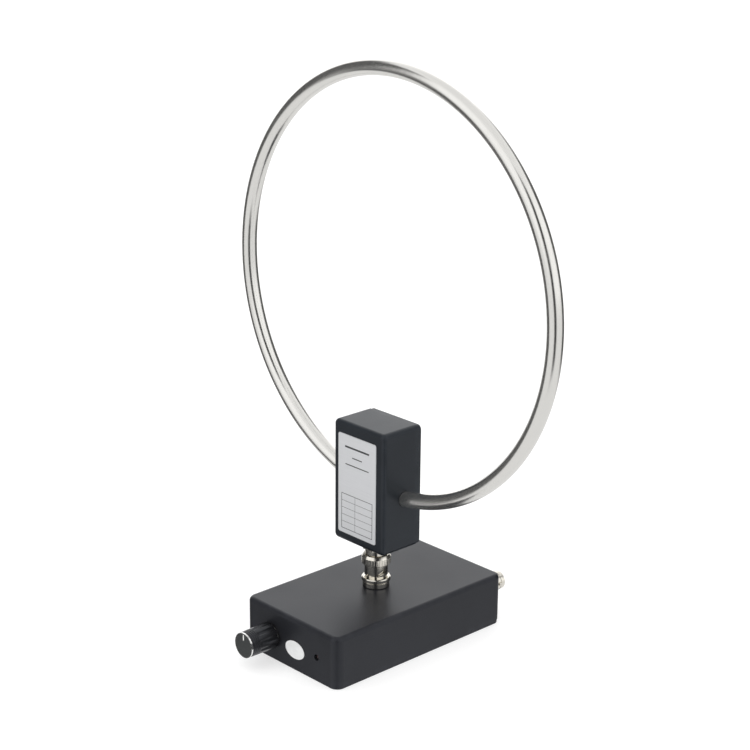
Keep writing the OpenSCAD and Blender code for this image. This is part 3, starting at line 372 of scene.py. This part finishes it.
def moulded_plastic(
        name, colour, gloss, grain_scale=2600.0, grain_depth=0.012 * MM, wear_and_highlight_box=None, ior=1.36):
    """Black plastic from a spark-eroded mould, a little polished where hands rub its edges, and lighter
    along the edges by a painted highlight.
    """
    edge_width, edge_tint, edge_highlight, worn_polish = 2.4 * MM, 0.35, 2.2, 0.10
    f = Finish(name, IOR=ior, Specular_Tint=COOL_SHEEN)
    where = f.place()
    grain = f.noise(where, scale=grain_scale, detail=1.5)
    cloud = f.noise(where, scale=45.0, detail=3.0)
    tone = f.spread(grain * 0.5 + cloud * 0.5, low=0.3, high=0.7)
    shade = f.shades(tone, colour, start=0.82, end=1.2)
    rough = gloss + f.swing(grain, width=0.10) + f.swing(cloud, width=0.14)
    if wear_and_highlight_box:
        patchy = f.spread(f.noise(where, scale=160.0, detail=4.0), low=0.35, high=0.75)
        edge_mask = edge_nearness(f, where, wear_and_highlight_box, edge_width) * patchy
        # Painted highlight: the colour lightens along the box's edges, standing in for the soft highlights
        # on its rounded edges; the lower roughness there is rubbed polish
        shade = f.blend(edge_mask * edge_tint, shade, scaled(colour, edge_highlight))
        rough = rough - worn_polish * edge_mask
    f.feed(Base_Color=shade, Roughness=rough)
    f.bump(grain, depth=grain_depth)
    return f.material


def turned_plate(name, colour, axis_point, axis, gloss):
    """Bright plated metal with the fine rings that a lathe leaves."""
    stain_dull = 0.08
    f = Finish(name, Metallic=1.0)
    where = f.place()
    out, along = f.from_axis(where, axis_point, axis)
    rings = f.noise(f.vector(out, along, 0.0), scale=5200.0, detail=1.0)
    stain = f.spread(f.noise(where, scale=420.0, detail=3.0), low=0.42, high=0.72)
    f.feed(
        Base_Color=f.shades(stain, colour, start=1.0, end=0.80),
        Roughness=gloss + f.swing(rings, width=0.10) + stain_dull * stain)
    f.bump(rings, depth=0.004 * MM)
    return f.material


def drawn_steel(name, colour):
    """Satin stainless tube with fine lines along its length, a few rubbed patches and a faint haze."""
    gloss, line_share, rubbed_dull = 0.17, 0.6, 0.07
    lengthwise, crosswise = 3.0, 9.0
    f = Finish(name, Metallic=0.945)
    where = f.place()
    x, y, z = (part - centre for part, centre in zip(f.axes(where), LOOP_MIDDLE))
    turn = f.math("ARCTAN2", z, x)
    side = f.math("ARCTAN2", y, f.reach(x, z) - LOOP_R)
    round_x = f.math("COSINE", side) * crosswise
    round_y = f.math("SINE", side) * crosswise
    lines = f.noise(f.vector(turn * lengthwise, round_x, round_y), scale=9.0, detail=3.0)
    rubbed = f.spread(f.noise(where, scale=34.0, detail=4.0), low=0.4, high=0.72)
    f.feed(
        Base_Color=f.shades(lines * line_share, colour, start=1.06, end=0.84),
        Roughness=gloss + f.swing(lines, width=0.10) + rubbed_dull * rubbed)
    f.bump(lines, depth=0.006 * MM)
    return f.material


def plain_metal(name, colour, gloss):
    """Plated or rolled small part with a mottled face."""
    f = Finish(name, Metallic=1.0)
    mottle = f.noise(f.place(), scale=900.0, detail=4.0)
    f.feed(
        Base_Color=f.shades(mottle, colour, start=0.78, end=1.12),
        Roughness=gloss + f.swing(mottle, width=0.18))
    f.bump(mottle, depth=0.01 * MM)
    return f.material


def soft_moulding(name, colour, gloss, grain_scale=1400.0, **constants):
    """Moulded, dipped or extruded small part with a faint grain."""
    f = Finish(name, **constants)
    grain = f.noise(f.place(), scale=grain_scale, detail=3.0)
    f.feed(
        Base_Color=f.shades(grain, colour, start=0.86, end=1.1),
        Roughness=gloss + f.swing(grain, width=0.14))
    f.bump(grain, depth=0.008 * MM)
    return f.material


def label_film(name, colour):
    """Silvered film with a fine brushed look, slightly dulled at the edges."""
    gloss, edge_width, edge_tint, worn_dark = 0.34, 0.8 * MM, 0.3, 0.7
    brush_along, brush_across = 60.0, 2200.0
    f = Finish(name, Metallic=0.35)
    where = f.place()
    x, y, z = f.axes(where)
    stretched = f.vector(x * brush_along, y * brush_along, z * brush_across)
    brush = f.noise(stretched, scale=1.0, detail=2.0)
    dull = f.noise(where, scale=90.0, detail=3.0)
    edge_mask = edge_nearness(f, where, LABEL_BOX, edge_width)
    tone = f.shades(brush * 0.5 + dull * 0.3, colour, start=1.06, end=0.88)
    f.feed(
        Base_Color=f.blend(edge_mask * edge_tint, tone, scaled(colour, worn_dark)),
        Roughness=gloss + f.swing(dull, width=0.12) + f.swing(brush, width=0.08))
    f.bump(brush, depth=0.002 * MM)
    return f.material


def circuit_laminate(name, colour):
    """Green lacquered board with a web of tracks under the lacquer."""
    gloss, track_light, lane_pitch, cross_pitch = 0.32, 1.9, 0.9 * MM, 3.1 * MM
    f = Finish(name, Coat_Weight=0.4)
    where = f.place()
    x, y, z = f.axes(where)
    weave = f.noise(where, scale=1800.0, detail=2.0)
    lane = f.math("PINGPONG", x + z, lane_pitch) / lane_pitch
    cross = f.math("PINGPONG", y, cross_pitch) / cross_pitch
    broken = f.spread(f.noise(where, scale=210.0, detail=1.0), low=0.48, high=0.52)
    lanes = f.spread(lane, low=0.78, high=0.84) * broken
    crossings = f.spread(cross, low=0.9, high=0.94) * (1 - broken)
    track = f.most(lanes, crossings)
    lacquer = f.shades(weave, colour, start=0.8, end=1.0)
    f.feed(
        Base_Color=f.blend(track, lacquer, scaled(colour, track_light)),
        Roughness=gloss + f.swing(weave, width=0.1))
    f.bump(track, depth=0.03 * MM)
    return f.material


def shrink_sleeve(name, colour, end_colour):
    """Shrink sleeve of the cell: a plain band at one end and fine wrinkles."""
    gloss, band_length, band_edge = 0.3, 6 * MM, 0.2 * MM
    wrinkle_across, wrinkle_along = 300.0, 1300.0
    f = Finish(name)
    x, y, z = f.axes(f.place())
    band_end = CELL_BOX[0].y + band_length
    band = f.spread(y, low=band_end, high=band_end + band_edge)
    stretched = f.vector(x * wrinkle_across, y * wrinkle_along, z * wrinkle_across)
    wrinkle = f.noise(stretched, scale=1.0, detail=2.0)
    f.feed(Base_Color=f.blend(band, end_colour, colour), Roughness=gloss + f.swing(wrinkle, width=0.12))
    f.bump(wrinkle, depth=0.01 * MM)
    return f.material


def dress(material, *names):
    """Gives CAD solids a finish through their own material slots."""
    for name in names:
        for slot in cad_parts[name].material_slots:
            slot.link = "OBJECT"
            slot.material = material


def circle(count, radius):
    """Points of a circle as pairs."""
    return [
        (radius * math.cos(FULL_TURN * i / count), radius * math.sin(FULL_TURN * i / count))
        for i in range(count)
    ]


class Form:
    """Mesh under construction, in metres."""

    def __init__(self):
        self.mesh = bmesh.new()

    def ring(self, points):
        """New points."""
        return [self.mesh.verts.new(p) for p in points]

    def skin(self, first, second):
        """Faces between two closed rings of equally many points."""
        count = len(first)
        for i in range(count):
            j = (i + 1) % count
            self.mesh.faces.new((first[i], first[j], second[j], second[i]))

    def loft(self, rings, joined=False):
        """Faces along a row of rings, with the last joined to the first if asked."""
        rows = [self.ring(points) for points in rings]
        for first, second in zip(rows, rows[1:] + rows[:1] if joined else rows[1:]):
            self.skin(first, second)
        return rows

    def cap(self, ring):
        """One flat face over a ring."""
        self.mesh.faces.new(ring)

    def slab(self, low, high):
        """Thin block between two corners."""
        for vert in bmesh.ops.create_cube(self.mesh, size=1.0)["verts"]:
            vert.co = Vector(a + (b - a) * (side + 0.5) for a, b, side in zip(low, high, vert.co))

    def placed(self, name, material):
        """Ends the mesh as an object of the scene with a finish."""
        data = bpy.data.meshes.new(name)
        self.mesh.to_mesh(data)
        self.mesh.free()
        data.materials.append(material)
        made = bpy.data.objects.new(name, data)
        bpy.context.scene.collection.objects.link(made)
        return made

    def piece(self, name, body, material, replaced=()):
        """Ends the mesh as a smooth piece that rides on a body and takes a slot's finish."""
        bmesh.ops.recalc_face_normals(self.mesh, faces=self.mesh.faces)
        made = self.placed(name, material)
        made.data.shade_smooth()
        made.data.set_sharp_from_angle(angle=SHARP_FOLD)
        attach(made, body)
        if replaced:
            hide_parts(*replaced)

    def stand(self, name, material):
        """Ends the mesh as a piece of the stage that bright metal doesn't mirror."""
        made = self.placed(name, material)
        made.visible_glossy = False
        return made


class LOOP_OT_stage(bpy.types.Operator):
    """Pale floor, soft white room and the camera at the photograph's angle"""

    bl_idname = "receiving_loop.stage"
    bl_label = "Stage"

    def execute(self, context):
        stage = context.scene.loop_stage
        self.floor(context.scene.loop_colours, stage)
        self.wall(stage)
        self.lights(context.scene, stage)
        self.camera(context.scene, stage)
        return {"FINISHED"}

    def floor(self, colours, stage):
        """Round pale floor far wider than the view."""
        form = Form()
        edge = circle(FLOOR_SIDES, stage.floor_reach)
        form.cap(form.ring([(x, y, -stage.floor_drop) for x, y in edge]))
        pale = Finish("stage_pale", Base_Color=colours.floor, Roughness=0.9)
        pale.feed(Emission_Color=WHITE, Emission_Strength=stage.floor_glow)
        form.stand("stage_floor", pale.material)

    def wall(self, stage):
        """White wall round the floor, which neither lights nor shades the part."""
        form = Form()
        edge = circle(FLOOR_SIDES, stage.floor_reach)
        form.loft([[(x, y, z) for x, y in edge] for z in (-stage.floor_drop, stage.wall_height)])
        white = Finish("stage_white", Base_Color=BLACK, Roughness=1.0)
        white.feed(Emission_Color=WHITE, Emission_Strength=1.0)
        wall = form.stand("stage_wall", white.material)
        wall.visible_diffuse = False
        wall.visible_shadow = False

    def lights(self, scene, stage):
        """White room with a window behind and three dim panels, and a soft top light."""
        horizon_z = (-0.15, 0.1)
        ceiling_z = (0.6, 0.9)
        world = bpy.data.worlds.new("stage_room")
        scene.world = world
        world.use_nodes = True
        n = Nodes(world.node_tree)
        x, y, z = n.axes(n.node("ShaderNodeTexCoord", {}, {}, "Generated"))
        flat = n.reach(x, y)

        def within(facing, width, blur):
            """1 nearer to a direction than an angle, with a soft edge."""
            return n.spread(facing, math.cos(width + blur / 2), math.cos(width - blur / 2))

        def panel(azimuth, width, blur, low, high):
            """1 on an upright panel of the room, with soft edges."""
            way = toward(azimuth, 0.0)
            across = within((x * way.x + y * way.y) / flat, width, blur)
            over = n.spread(z, math.sin(low - blur / 2), math.sin(low + blur / 2))
            above = n.spread(z, math.sin(high - blur / 2), math.sin(high + blur / 2))
            return across * over * (1 - above)

        def lit(level, light, mask):
            """A level that turns to a light where a mask is 1."""
            return level + (light - level) * mask

        way = toward(stage.azimuth + math.pi, stage.elevation)
        facing = x * way.x + y * way.y + z * way.z
        level = lit(stage.low_light, stage.room_light, n.spread(z, *horizon_z))
        level = lit(level, stage.ceiling_light, n.spread(z, *ceiling_z))
        level = lit(level, stage.window_light, within(facing, stage.window_width, stage.window_blur))
        level = lit(level, stage.side_light, panel(*stage.side_panel))
        level = lit(level, stage.crew_light, panel(*stage.crew_panel))
        level = lit(level, stage.back_light, panel(*stage.back_panel))
        background = world.node_tree.nodes["Background"]
        n.put(background.inputs["Color"], WHITE)
        n.put(background.inputs["Strength"], level)
        data = bpy.data.lights.new("stage_top", "SUN")
        data.energy = stage.top_light
        data.angle = stage.top_spread
        lamp = bpy.data.objects.new("stage_top", data)
        lamp.visible_glossy = False
        scene.collection.objects.link(lamp)

    def camera(self, scene, stage):
        """Camera fitted to the photograph's straight edges and ring."""
        back = toward(stage.azimuth, stage.elevation)
        right = Vector((math.cos(stage.azimuth), math.sin(stage.azimuth), 0.0))
        up = back.cross(right)
        rolled_right = right * math.cos(stage.roll) + up * math.sin(stage.roll)
        rolled_up = up * math.cos(stage.roll) - right * math.sin(stage.roll)
        data = bpy.data.cameras.new("stage_camera")
        data.sensor_width = SENSOR_MM
        data.lens = stage.focal_pixels * SENSOR_MM / FRAME_PIXELS
        data.clip_start = 0.01
        data.clip_end = 100.0
        camera = bpy.data.objects.new("stage_camera", data)
        turn = Matrix((rolled_right, rolled_up, back)).transposed().to_4x4()
        camera.matrix_world = Matrix.Translation(Vector(stage.target) + back * stage.distance) @ turn
        scene.collection.objects.link(camera)
        scene.camera = camera
        scene.view_settings.view_transform = "Standard"


class LOOP_OT_base_box(bpy.types.Operator):
    """Moulded base shell, its bottom cover and screws"""

    bl_idname = "receiving_loop.base_box"
    bl_label = "Base box"

    def execute(self, context):
        colours = context.scene.loop_colours
        plastic = moulded_plastic("base_plastic", colours.base_black, gloss=0.37, wear_and_highlight_box=BASE_BOX)
        dress(plastic, "base_shell", "base_bottom_cover")
        zinc = plain_metal("screw_zinc", colours.zinc, gloss=0.36)
        dress(zinc, "base_cover_screws", "board_screws")
        return {"FINISHED"}


class LOOP_OT_front_panel(bpy.types.Operator):
    """Oval sticker and indicator lamp"""

    bl_idname = "receiving_loop.front_panel"
    bl_label = "Front panel"

    def execute(self, context):
        colours = context.scene.loop_colours
        paper = soft_moulding("sticker_film", colours.paper, gloss=0.32, grain_scale=500.0)
        dress(paper, "front_sticker")
        # The lens colour carries painted shade of its hole, darkening the red to near black
        lens = soft_moulding(
            "lamp_lens", colours.lamp, gloss=0.16, grain_scale=700.0, Transmission_Weight=0.25)
        dress(lens, "indicator_led")
        return {"FINISHED"}


class LOOP_OT_gain_knob(bpy.types.Operator):
    """Gain knob with flutes, grooved band, bright ring, cap and pointer, and the control behind it"""

    bl_idname = "receiving_loop.gain_knob"
    bl_label = "Gain knob"

    def execute(self, context):
        colours = context.scene.loop_colours
        plastic = moulded_plastic(
            "knob_plastic", colours.knob_black, gloss=0.30, grain_scale=3600.0, grain_depth=0.008 * MM,
            ior=1.50)
        self.knob(context.scene.loop_details, plastic)
        dress(turned_plate("knob_bright", colours.knob_bright, KNOB_AXIS, "Y", gloss=0.16), "knob_ring")
        dress(moulded_plastic("knob_cap", colours.cap_grey, gloss=0.46, grain_scale=3000.0), "knob_cap")
        dress(soft_moulding("pointer_white", colours.pointer, gloss=0.4), "knob_pointer")
        metal = turned_plate("control_metal", colours.control, KNOB_AXIS, "Y", gloss=0.3)
        dress(metal, "pot_shaft", "pot_bushing", "pot_case", "pot_washer")
        dress(turned_plate("control_nut", colours.nickel, KNOB_AXIS, "Y", gloss=0.2), "pot_nut")
        return {"FINISHED"}

    def knob(self, details, plastic):
        """Turned outline with flutes at the rear, and a grooved band behind the cap."""
        recess_r, recess_l = 5.71 * MM, 3.0 * MM
        socket_r, socket_l = 3.05 * MM, 10.5 * MM
        chamfer = 0.25 * MM
        flute_points, barrel_steps, groove_steps, chamfer_steps = 20, 14, 12, 4
        rear_y, face_y = KNOB_BOX[1].y, KNOB_BOX[0].y
        length = rear_y - face_y
        rear_r = (KNOB_BOX[1].x - KNOB_BOX[0].x) / 2
        face_r = details.knob_face / 2
        count = details.flutes * flute_points
        flute_turn = FULL_TURN / details.flutes
        flute_middle = rear_r - details.flute_depth + details.flute_radius
        band_start = length - details.band_length
        band_pitch = details.band_length / details.band_grooves
        band_steps = details.band_grooves * groove_steps
        band_step = (details.band_length - chamfer) / band_steps
        stops = [band_start * i / barrel_steps for i in range(barrel_steps + 1)]
        stops += [band_start + band_step * i for i in range(1, band_steps + 1)]
        stops += [length - chamfer + chamfer * i / chamfer_steps for i in range(1, chamfer_steps + 1)]

        def outline(along, turn):
            """Radius at a distance from the knob's rear and a turn round it."""
            radius = rear_r + (face_r - rear_r) * along / length
            edge = length - along
            if edge < chamfer:
                radius -= chamfer - math.sqrt(max(0.0, chamfer ** 2 - (chamfer - edge) ** 2))
            if along < band_start:
                off = (turn + flute_turn / 2) % flute_turn - flute_turn / 2
                hollow = details.flute_radius ** 2 - (flute_middle * math.sin(off)) ** 2
                if hollow < 0:
                    return radius
                return min(radius, flute_middle * math.cos(off) - math.sqrt(hollow))
            phase = (along - band_start) / band_pitch
            dip = max(0.0, math.cos(FULL_TURN * (phase - 0.5))) ** 2
            return radius - details.groove_depth * dip * min(1.0, edge / chamfer)

        def ring_at(along, radius_at):
            """Ring of points square to the knob's axis."""
            points = []
            for i in range(count):
                turn = FULL_TURN * i / count
                radius = radius_at(turn)
                x = KNOB_AXIS.x + radius * math.sin(turn)
                z = KNOB_AXIS.z + radius * math.cos(turn)
                points.append((x, rear_y - along, z))
            return points

        bores = ((socket_l, socket_r), (recess_l, socket_r), (recess_l, recess_r), (0.0, recess_r))
        rings = [ring_at(along, lambda turn, radius=radius: radius) for along, radius in bores]
        rings += [ring_at(along, lambda turn, along=along: outline(along, turn)) for along in stops]
        form = Form()
        rows = form.loft(rings)
        form.cap(rows[0])
        form.cap(rows[-1])
        form.piece("knob_body", "knob", plastic, ["gain_knob"])


class LOOP_OT_sockets(bpy.types.Operator):
    """Bayonet sockets on the top and rear, and the charging socket"""

    bl_idname = "receiving_loop.sockets"
    bl_label = "Sockets"

    def execute(self, context):
        colours = context.scene.loop_colours
        top = turned_plate("socket_nickel_top", colours.nickel, PLUG_AXIS, "Z", gloss=0.14)
        dress(top, "loop_jack_body", "loop_jack_washer", "loop_jack_nut")
        rear = turned_plate("socket_nickel_rear", colours.nickel, OUTPUT_AXIS, "Y", gloss=0.14)
        dress(rear, "output_jack_body", "output_jack_washer", "output_jack_nut")
        white = soft_moulding(
            "insulator_white", colours.insulator, gloss=0.42, grain_scale=900.0, Subsurface_Weight=0.15)
        dress(white, "loop_jack_insulator", "output_jack_insulator", "plug_insulator")
        gold = plain_metal("contact_gold", colours.gold, gloss=0.22)
        dress(gold, "loop_jack_contact", "output_jack_contact", "plug_pin", "battery_contacts")
        dress(plain_metal("socket_shell", colours.inlet, gloss=0.28), "charge_socket")
        dress(soft_moulding("socket_tongue", colours.tongue, gloss=0.42), "charge_tongue")
        return {"FINISHED"}


class LOOP_OT_coupling(bpy.types.Operator):
    """Bayonet coupling ring, plug and spring washer"""

    bl_idname = "receiving_loop.coupling"
    bl_label = "Coupling"

    def execute(self, context):
        colours = context.scene.loop_colours
        plate = turned_plate("coupling_nickel", colours.nickel, PLUG_AXIS, "Z", gloss=0.16)
        dress(plate, "coupling_ring", "plug_body", "plug_washer", "plug_nut")
        dress(plain_metal("spring_steel", colours.spring, gloss=0.3), "spring_washer")
        rubber = soft_moulding("seal_rubber", colours.rubber, gloss=0.62, grain_scale=1100.0)
        dress(rubber, "plug_gasket")
        return {"FINISHED"}


class LOOP_OT_head_box(bpy.types.Operator):
    """Moulded head shell, its back cover, screws and clamps"""

    bl_idname = "receiving_loop.head_box"
    bl_label = "Head box"

    def execute(self, context):
        colours = context.scene.loop_colours
        plastic = moulded_plastic("head_plastic", colours.head_black, gloss=0.36, wear_and_highlight_box=HEAD_BOX)
        dress(plastic, "head_shell", "head_back_cover")
        zinc = plain_metal("head_screw_zinc", colours.zinc, gloss=0.36)
        dress(zinc, "head_cover_screws", "clamp_screws", "preamp_screws")
        dress(soft_moulding("clamp_plastic", colours.clamp, gloss=0.5), "tube_clamps")
        return {"FINISHED"}


class LOOP_OT_head_label(bpy.types.Operator):
    """Silvered label with plain printed rules and a table"""

    bl_idname = "receiving_loop.head_label"
    bl_label = "Head label"

    def execute(self, context):
        colours = context.scene.loop_colours
        dress(label_film("label_film", colours.film), "head_label")
        ink = soft_moulding("label_ink", colours.ink, gloss=0.4, grain_scale=2400.0)
        self.rules(context.scene.loop_details, ink)
        return {"FINISHED"}

    def rules(self, details, ink):
        """Printed bars, in millimetres from the label's middle: left, right, bottom, top."""
        half_w = (LABEL_BOX[1].x - LABEL_BOX[0].x) / 2 / MM
        half_h = (LABEL_BOX[1].z - LABEL_BOX[0].z) / 2 / MM
        line = details.rule_width / MM
        fine_share, table_share, column_share = 0.6, 0.2, 0.44
        fine = line * fine_share
        margin, rows = 2.4, 5
        # Each heading's drop under the label's top, its thickness and its share of the label's width
        headings = ((5.6, 0.9, 0.64), (10.6, 0.5, 0.26), (14.6, 0.5, 0.62))
        left, right = -half_w + margin, half_w - margin
        table_top, table_bottom = -half_h * table_share, -half_h + margin
        bars = []
        for drop, thick, share in headings:
            reach = half_w * share
            bars.append((-reach, reach, half_h - drop - thick, half_h - drop))
        for i in range(rows + 1):
            z = table_bottom + (table_top - table_bottom) * i / rows
            thick = line if i in (0, rows) else fine
            bars.append((left, right, z - thick / 2, z + thick / 2))
        for x, thick in ((left, line), (left + (right - left) * column_share, fine), (right, line)):
            bars.append((x - thick / 2, x + thick / 2, table_bottom - line / 2, table_top + line / 2))
        form = Form()
        centre = middle(LABEL_BOX)
        face = LABEL_BOX[0].y
        for x0, x1, z0, z1 in bars:
            low = (centre.x + x0 * MM, face - details.ink_height, centre.z + z0 * MM)
            high = (centre.x + x1 * MM, face, centre.z + z1 * MM)
            form.slab(low, high)
        form.piece("label_rules", "head", ink)


class LOOP_OT_loop_ring(bpy.types.Operator):
    """Steel tube of the ring and the lugs in its ends"""

    bl_idname = "receiving_loop.loop_ring"
    bl_label = "Loop ring"

    def execute(self, context):
        colours = context.scene.loop_colours
        self.tube(context.scene.loop_details, drawn_steel("loop_steel", colours.loop_steel))
        dress(plain_metal("lug_copper", colours.lug, gloss=0.34), "loop_lugs")
        return {"FINISHED"}

    def tube(self, details, steel):
        """Hollow tube swept round the ring from one end in the head to the other."""
        gap = details.feed_gap / 2
        first = -math.pi / 2 + math.asin((gap - LOOP_MIDDLE.x) / LOOP_R)
        last = 3 * math.pi / 2 + math.asin((-gap - LOOP_MIDDLE.x) / LOOP_R)

        def section(turn, radius):
            """Ring of points round the tube at a turn about the loop's middle."""
            out = Vector((math.cos(turn), 0.0, math.sin(turn)))
            across = Vector((0.0, 1.0, 0.0))
            return [
                LOOP_MIDDLE + out * (LOOP_R + a) + across * b for a, b in circle(details.tube_steps, radius)
            ]

        def skin(radius):
            """Rings of the tube's skin at a radius, from end to end."""
            step = (last - first) / details.loop_steps
            return [section(first + step * i, radius) for i in range(details.loop_steps + 1)]

        form = Form()
        outer = form.loft(skin(TUBE_R))
        inner = form.loft(skin(TUBE_R - details.tube_wall))
        form.skin(outer[0], inner[0])
        form.skin(outer[-1], inner[-1])
        form.piece("loop_ring", "head", steel, ["loop_tube"])


class LOOP_OT_insides(bpy.types.Operator):
    """Boards, wires, battery and the wound matching core"""

    bl_idname = "receiving_loop.insides"
    bl_label = "Insides"

    def execute(self, context):
        colours = context.scene.loop_colours
        dress(circuit_laminate("board_laminate", colours.laminate), "amplifier_board", "preamp_board")
        black = soft_moulding("part_black", colours.part_black, gloss=0.46)
        dress(black, "amplifier_parts", "battery_holder")
        red = soft_moulding("wire_red", colours.wire, gloss=0.36, grain_scale=1600.0)
        dress(red, "base_leads", "battery_leads", "head_leads")
        dress(shrink_sleeve("cell_sleeve", colours.sleeve, colours.sleeve_end), "battery_cell")
        dress(soft_moulding("core_grey", colours.core, gloss=0.6, grain_scale=2600.0), "matching_core")
        copper = plain_metal("winding_enamel", colours.enamel, gloss=0.3)
        self.winding(context.scene.loop_details, copper)
        return {"FINISHED"}

    def winding(self, details, copper):
        """Enamelled turns round the core."""
        wire_sides, corner_share, bare_turns = 8, 0.12, 4
        centre = middle(CORE_BOX)
        outer_r = (CORE_BOX[1].x - CORE_BOX[0].x) / 2
        inner_r = outer_r / 2
        half_t = (CORE_BOX[1].y - CORE_BOX[0].y) / 2
        wire = details.core_wire / 2
        through = Vector((0.0, 1.0, 0.0))
        corners = [
            (outer_r + wire, half_t + wire), (inner_r - wire, half_t + wire),
            (inner_r - wire, -half_t - wire), (outer_r + wire, -half_t - wire)]
        form = Form()
        for i in range(details.core_turns):
            turn = FULL_TURN * i / (details.core_turns + bare_turns)
            out = Vector((math.cos(turn), 0.0, math.sin(turn)))
            side = Vector((-math.sin(turn), 0.0, math.cos(turn)))
            rings = []
            for k, (radius, depth) in enumerate(corners):
                ahead = corners[(k + 1) % len(corners)]
                behind = corners[k - 1]
                for near in (behind, ahead):
                    r = radius + (near[0] - radius) * corner_share
                    d = depth + (near[1] - depth) * corner_share
                    along = Vector((near[0] - radius, near[1] - depth)).normalized()
                    if near is behind:
                        along.negate()
                    across = out * along.y - through * along.x
                    spot = centre + out * r + through * d
                    rings.append([spot + across * a + side * b for a, b in circle(wire_sides, wire)])
            form.loft(rings, joined=True)
        form.piece("core_winding", "head", copper)


OPERATORS = (
    LOOP_OT_stage, LOOP_OT_base_box, LOOP_OT_front_panel, LOOP_OT_gain_knob, LOOP_OT_sockets,
    LOOP_OT_coupling, LOOP_OT_head_box, LOOP_OT_head_label, LOOP_OT_loop_ring, LOOP_OT_insides,
)


class LOOP_PT_panel(bpy.types.Panel):
    """Lists the pieces of the receiving loop"""

    bl_label = "Receiving Loop"
    bl_idname = "LOOP_PT_panel"
    bl_space_type = "VIEW_3D"
    bl_region_type = "UI"
    bl_category = "Loop"

    def draw(self, context):
        for operator in OPERATORS:
            self.layout.operator(operator.bl_idname)


GROUPS = {"loop_colours": LoopColours, "loop_details": LoopDetails, "loop_stage": LoopStage}
CLASSES = (*GROUPS.values(), *OPERATORS, LOOP_PT_panel)


def register():
    """Adds the classes and the scene's settings."""
    for made in CLASSES:
        bpy.utils.register_class(made)
    for name, group in GROUPS.items():
        setattr(bpy.types.Scene, name, PointerProperty(type=group))


def unregister():
    """Takes the settings and the classes away again."""
    for name in GROUPS:
        delattr(bpy.types.Scene, name)
    for made in reversed(CLASSES):
        bpy.utils.unregister_class(made)


def main():
    """Makes every piece and the stage."""
    register()
    pieces = bpy.ops.receiving_loop
    pieces.stage()
    pieces.base_box()
    pieces.front_panel()
    pieces.gain_knob()
    pieces.sockets()
    pieces.coupling()
    pieces.head_box()
    pieces.head_label()
    pieces.loop_ring()
    pieces.insides()


if __name__ == "__main__":
    main()
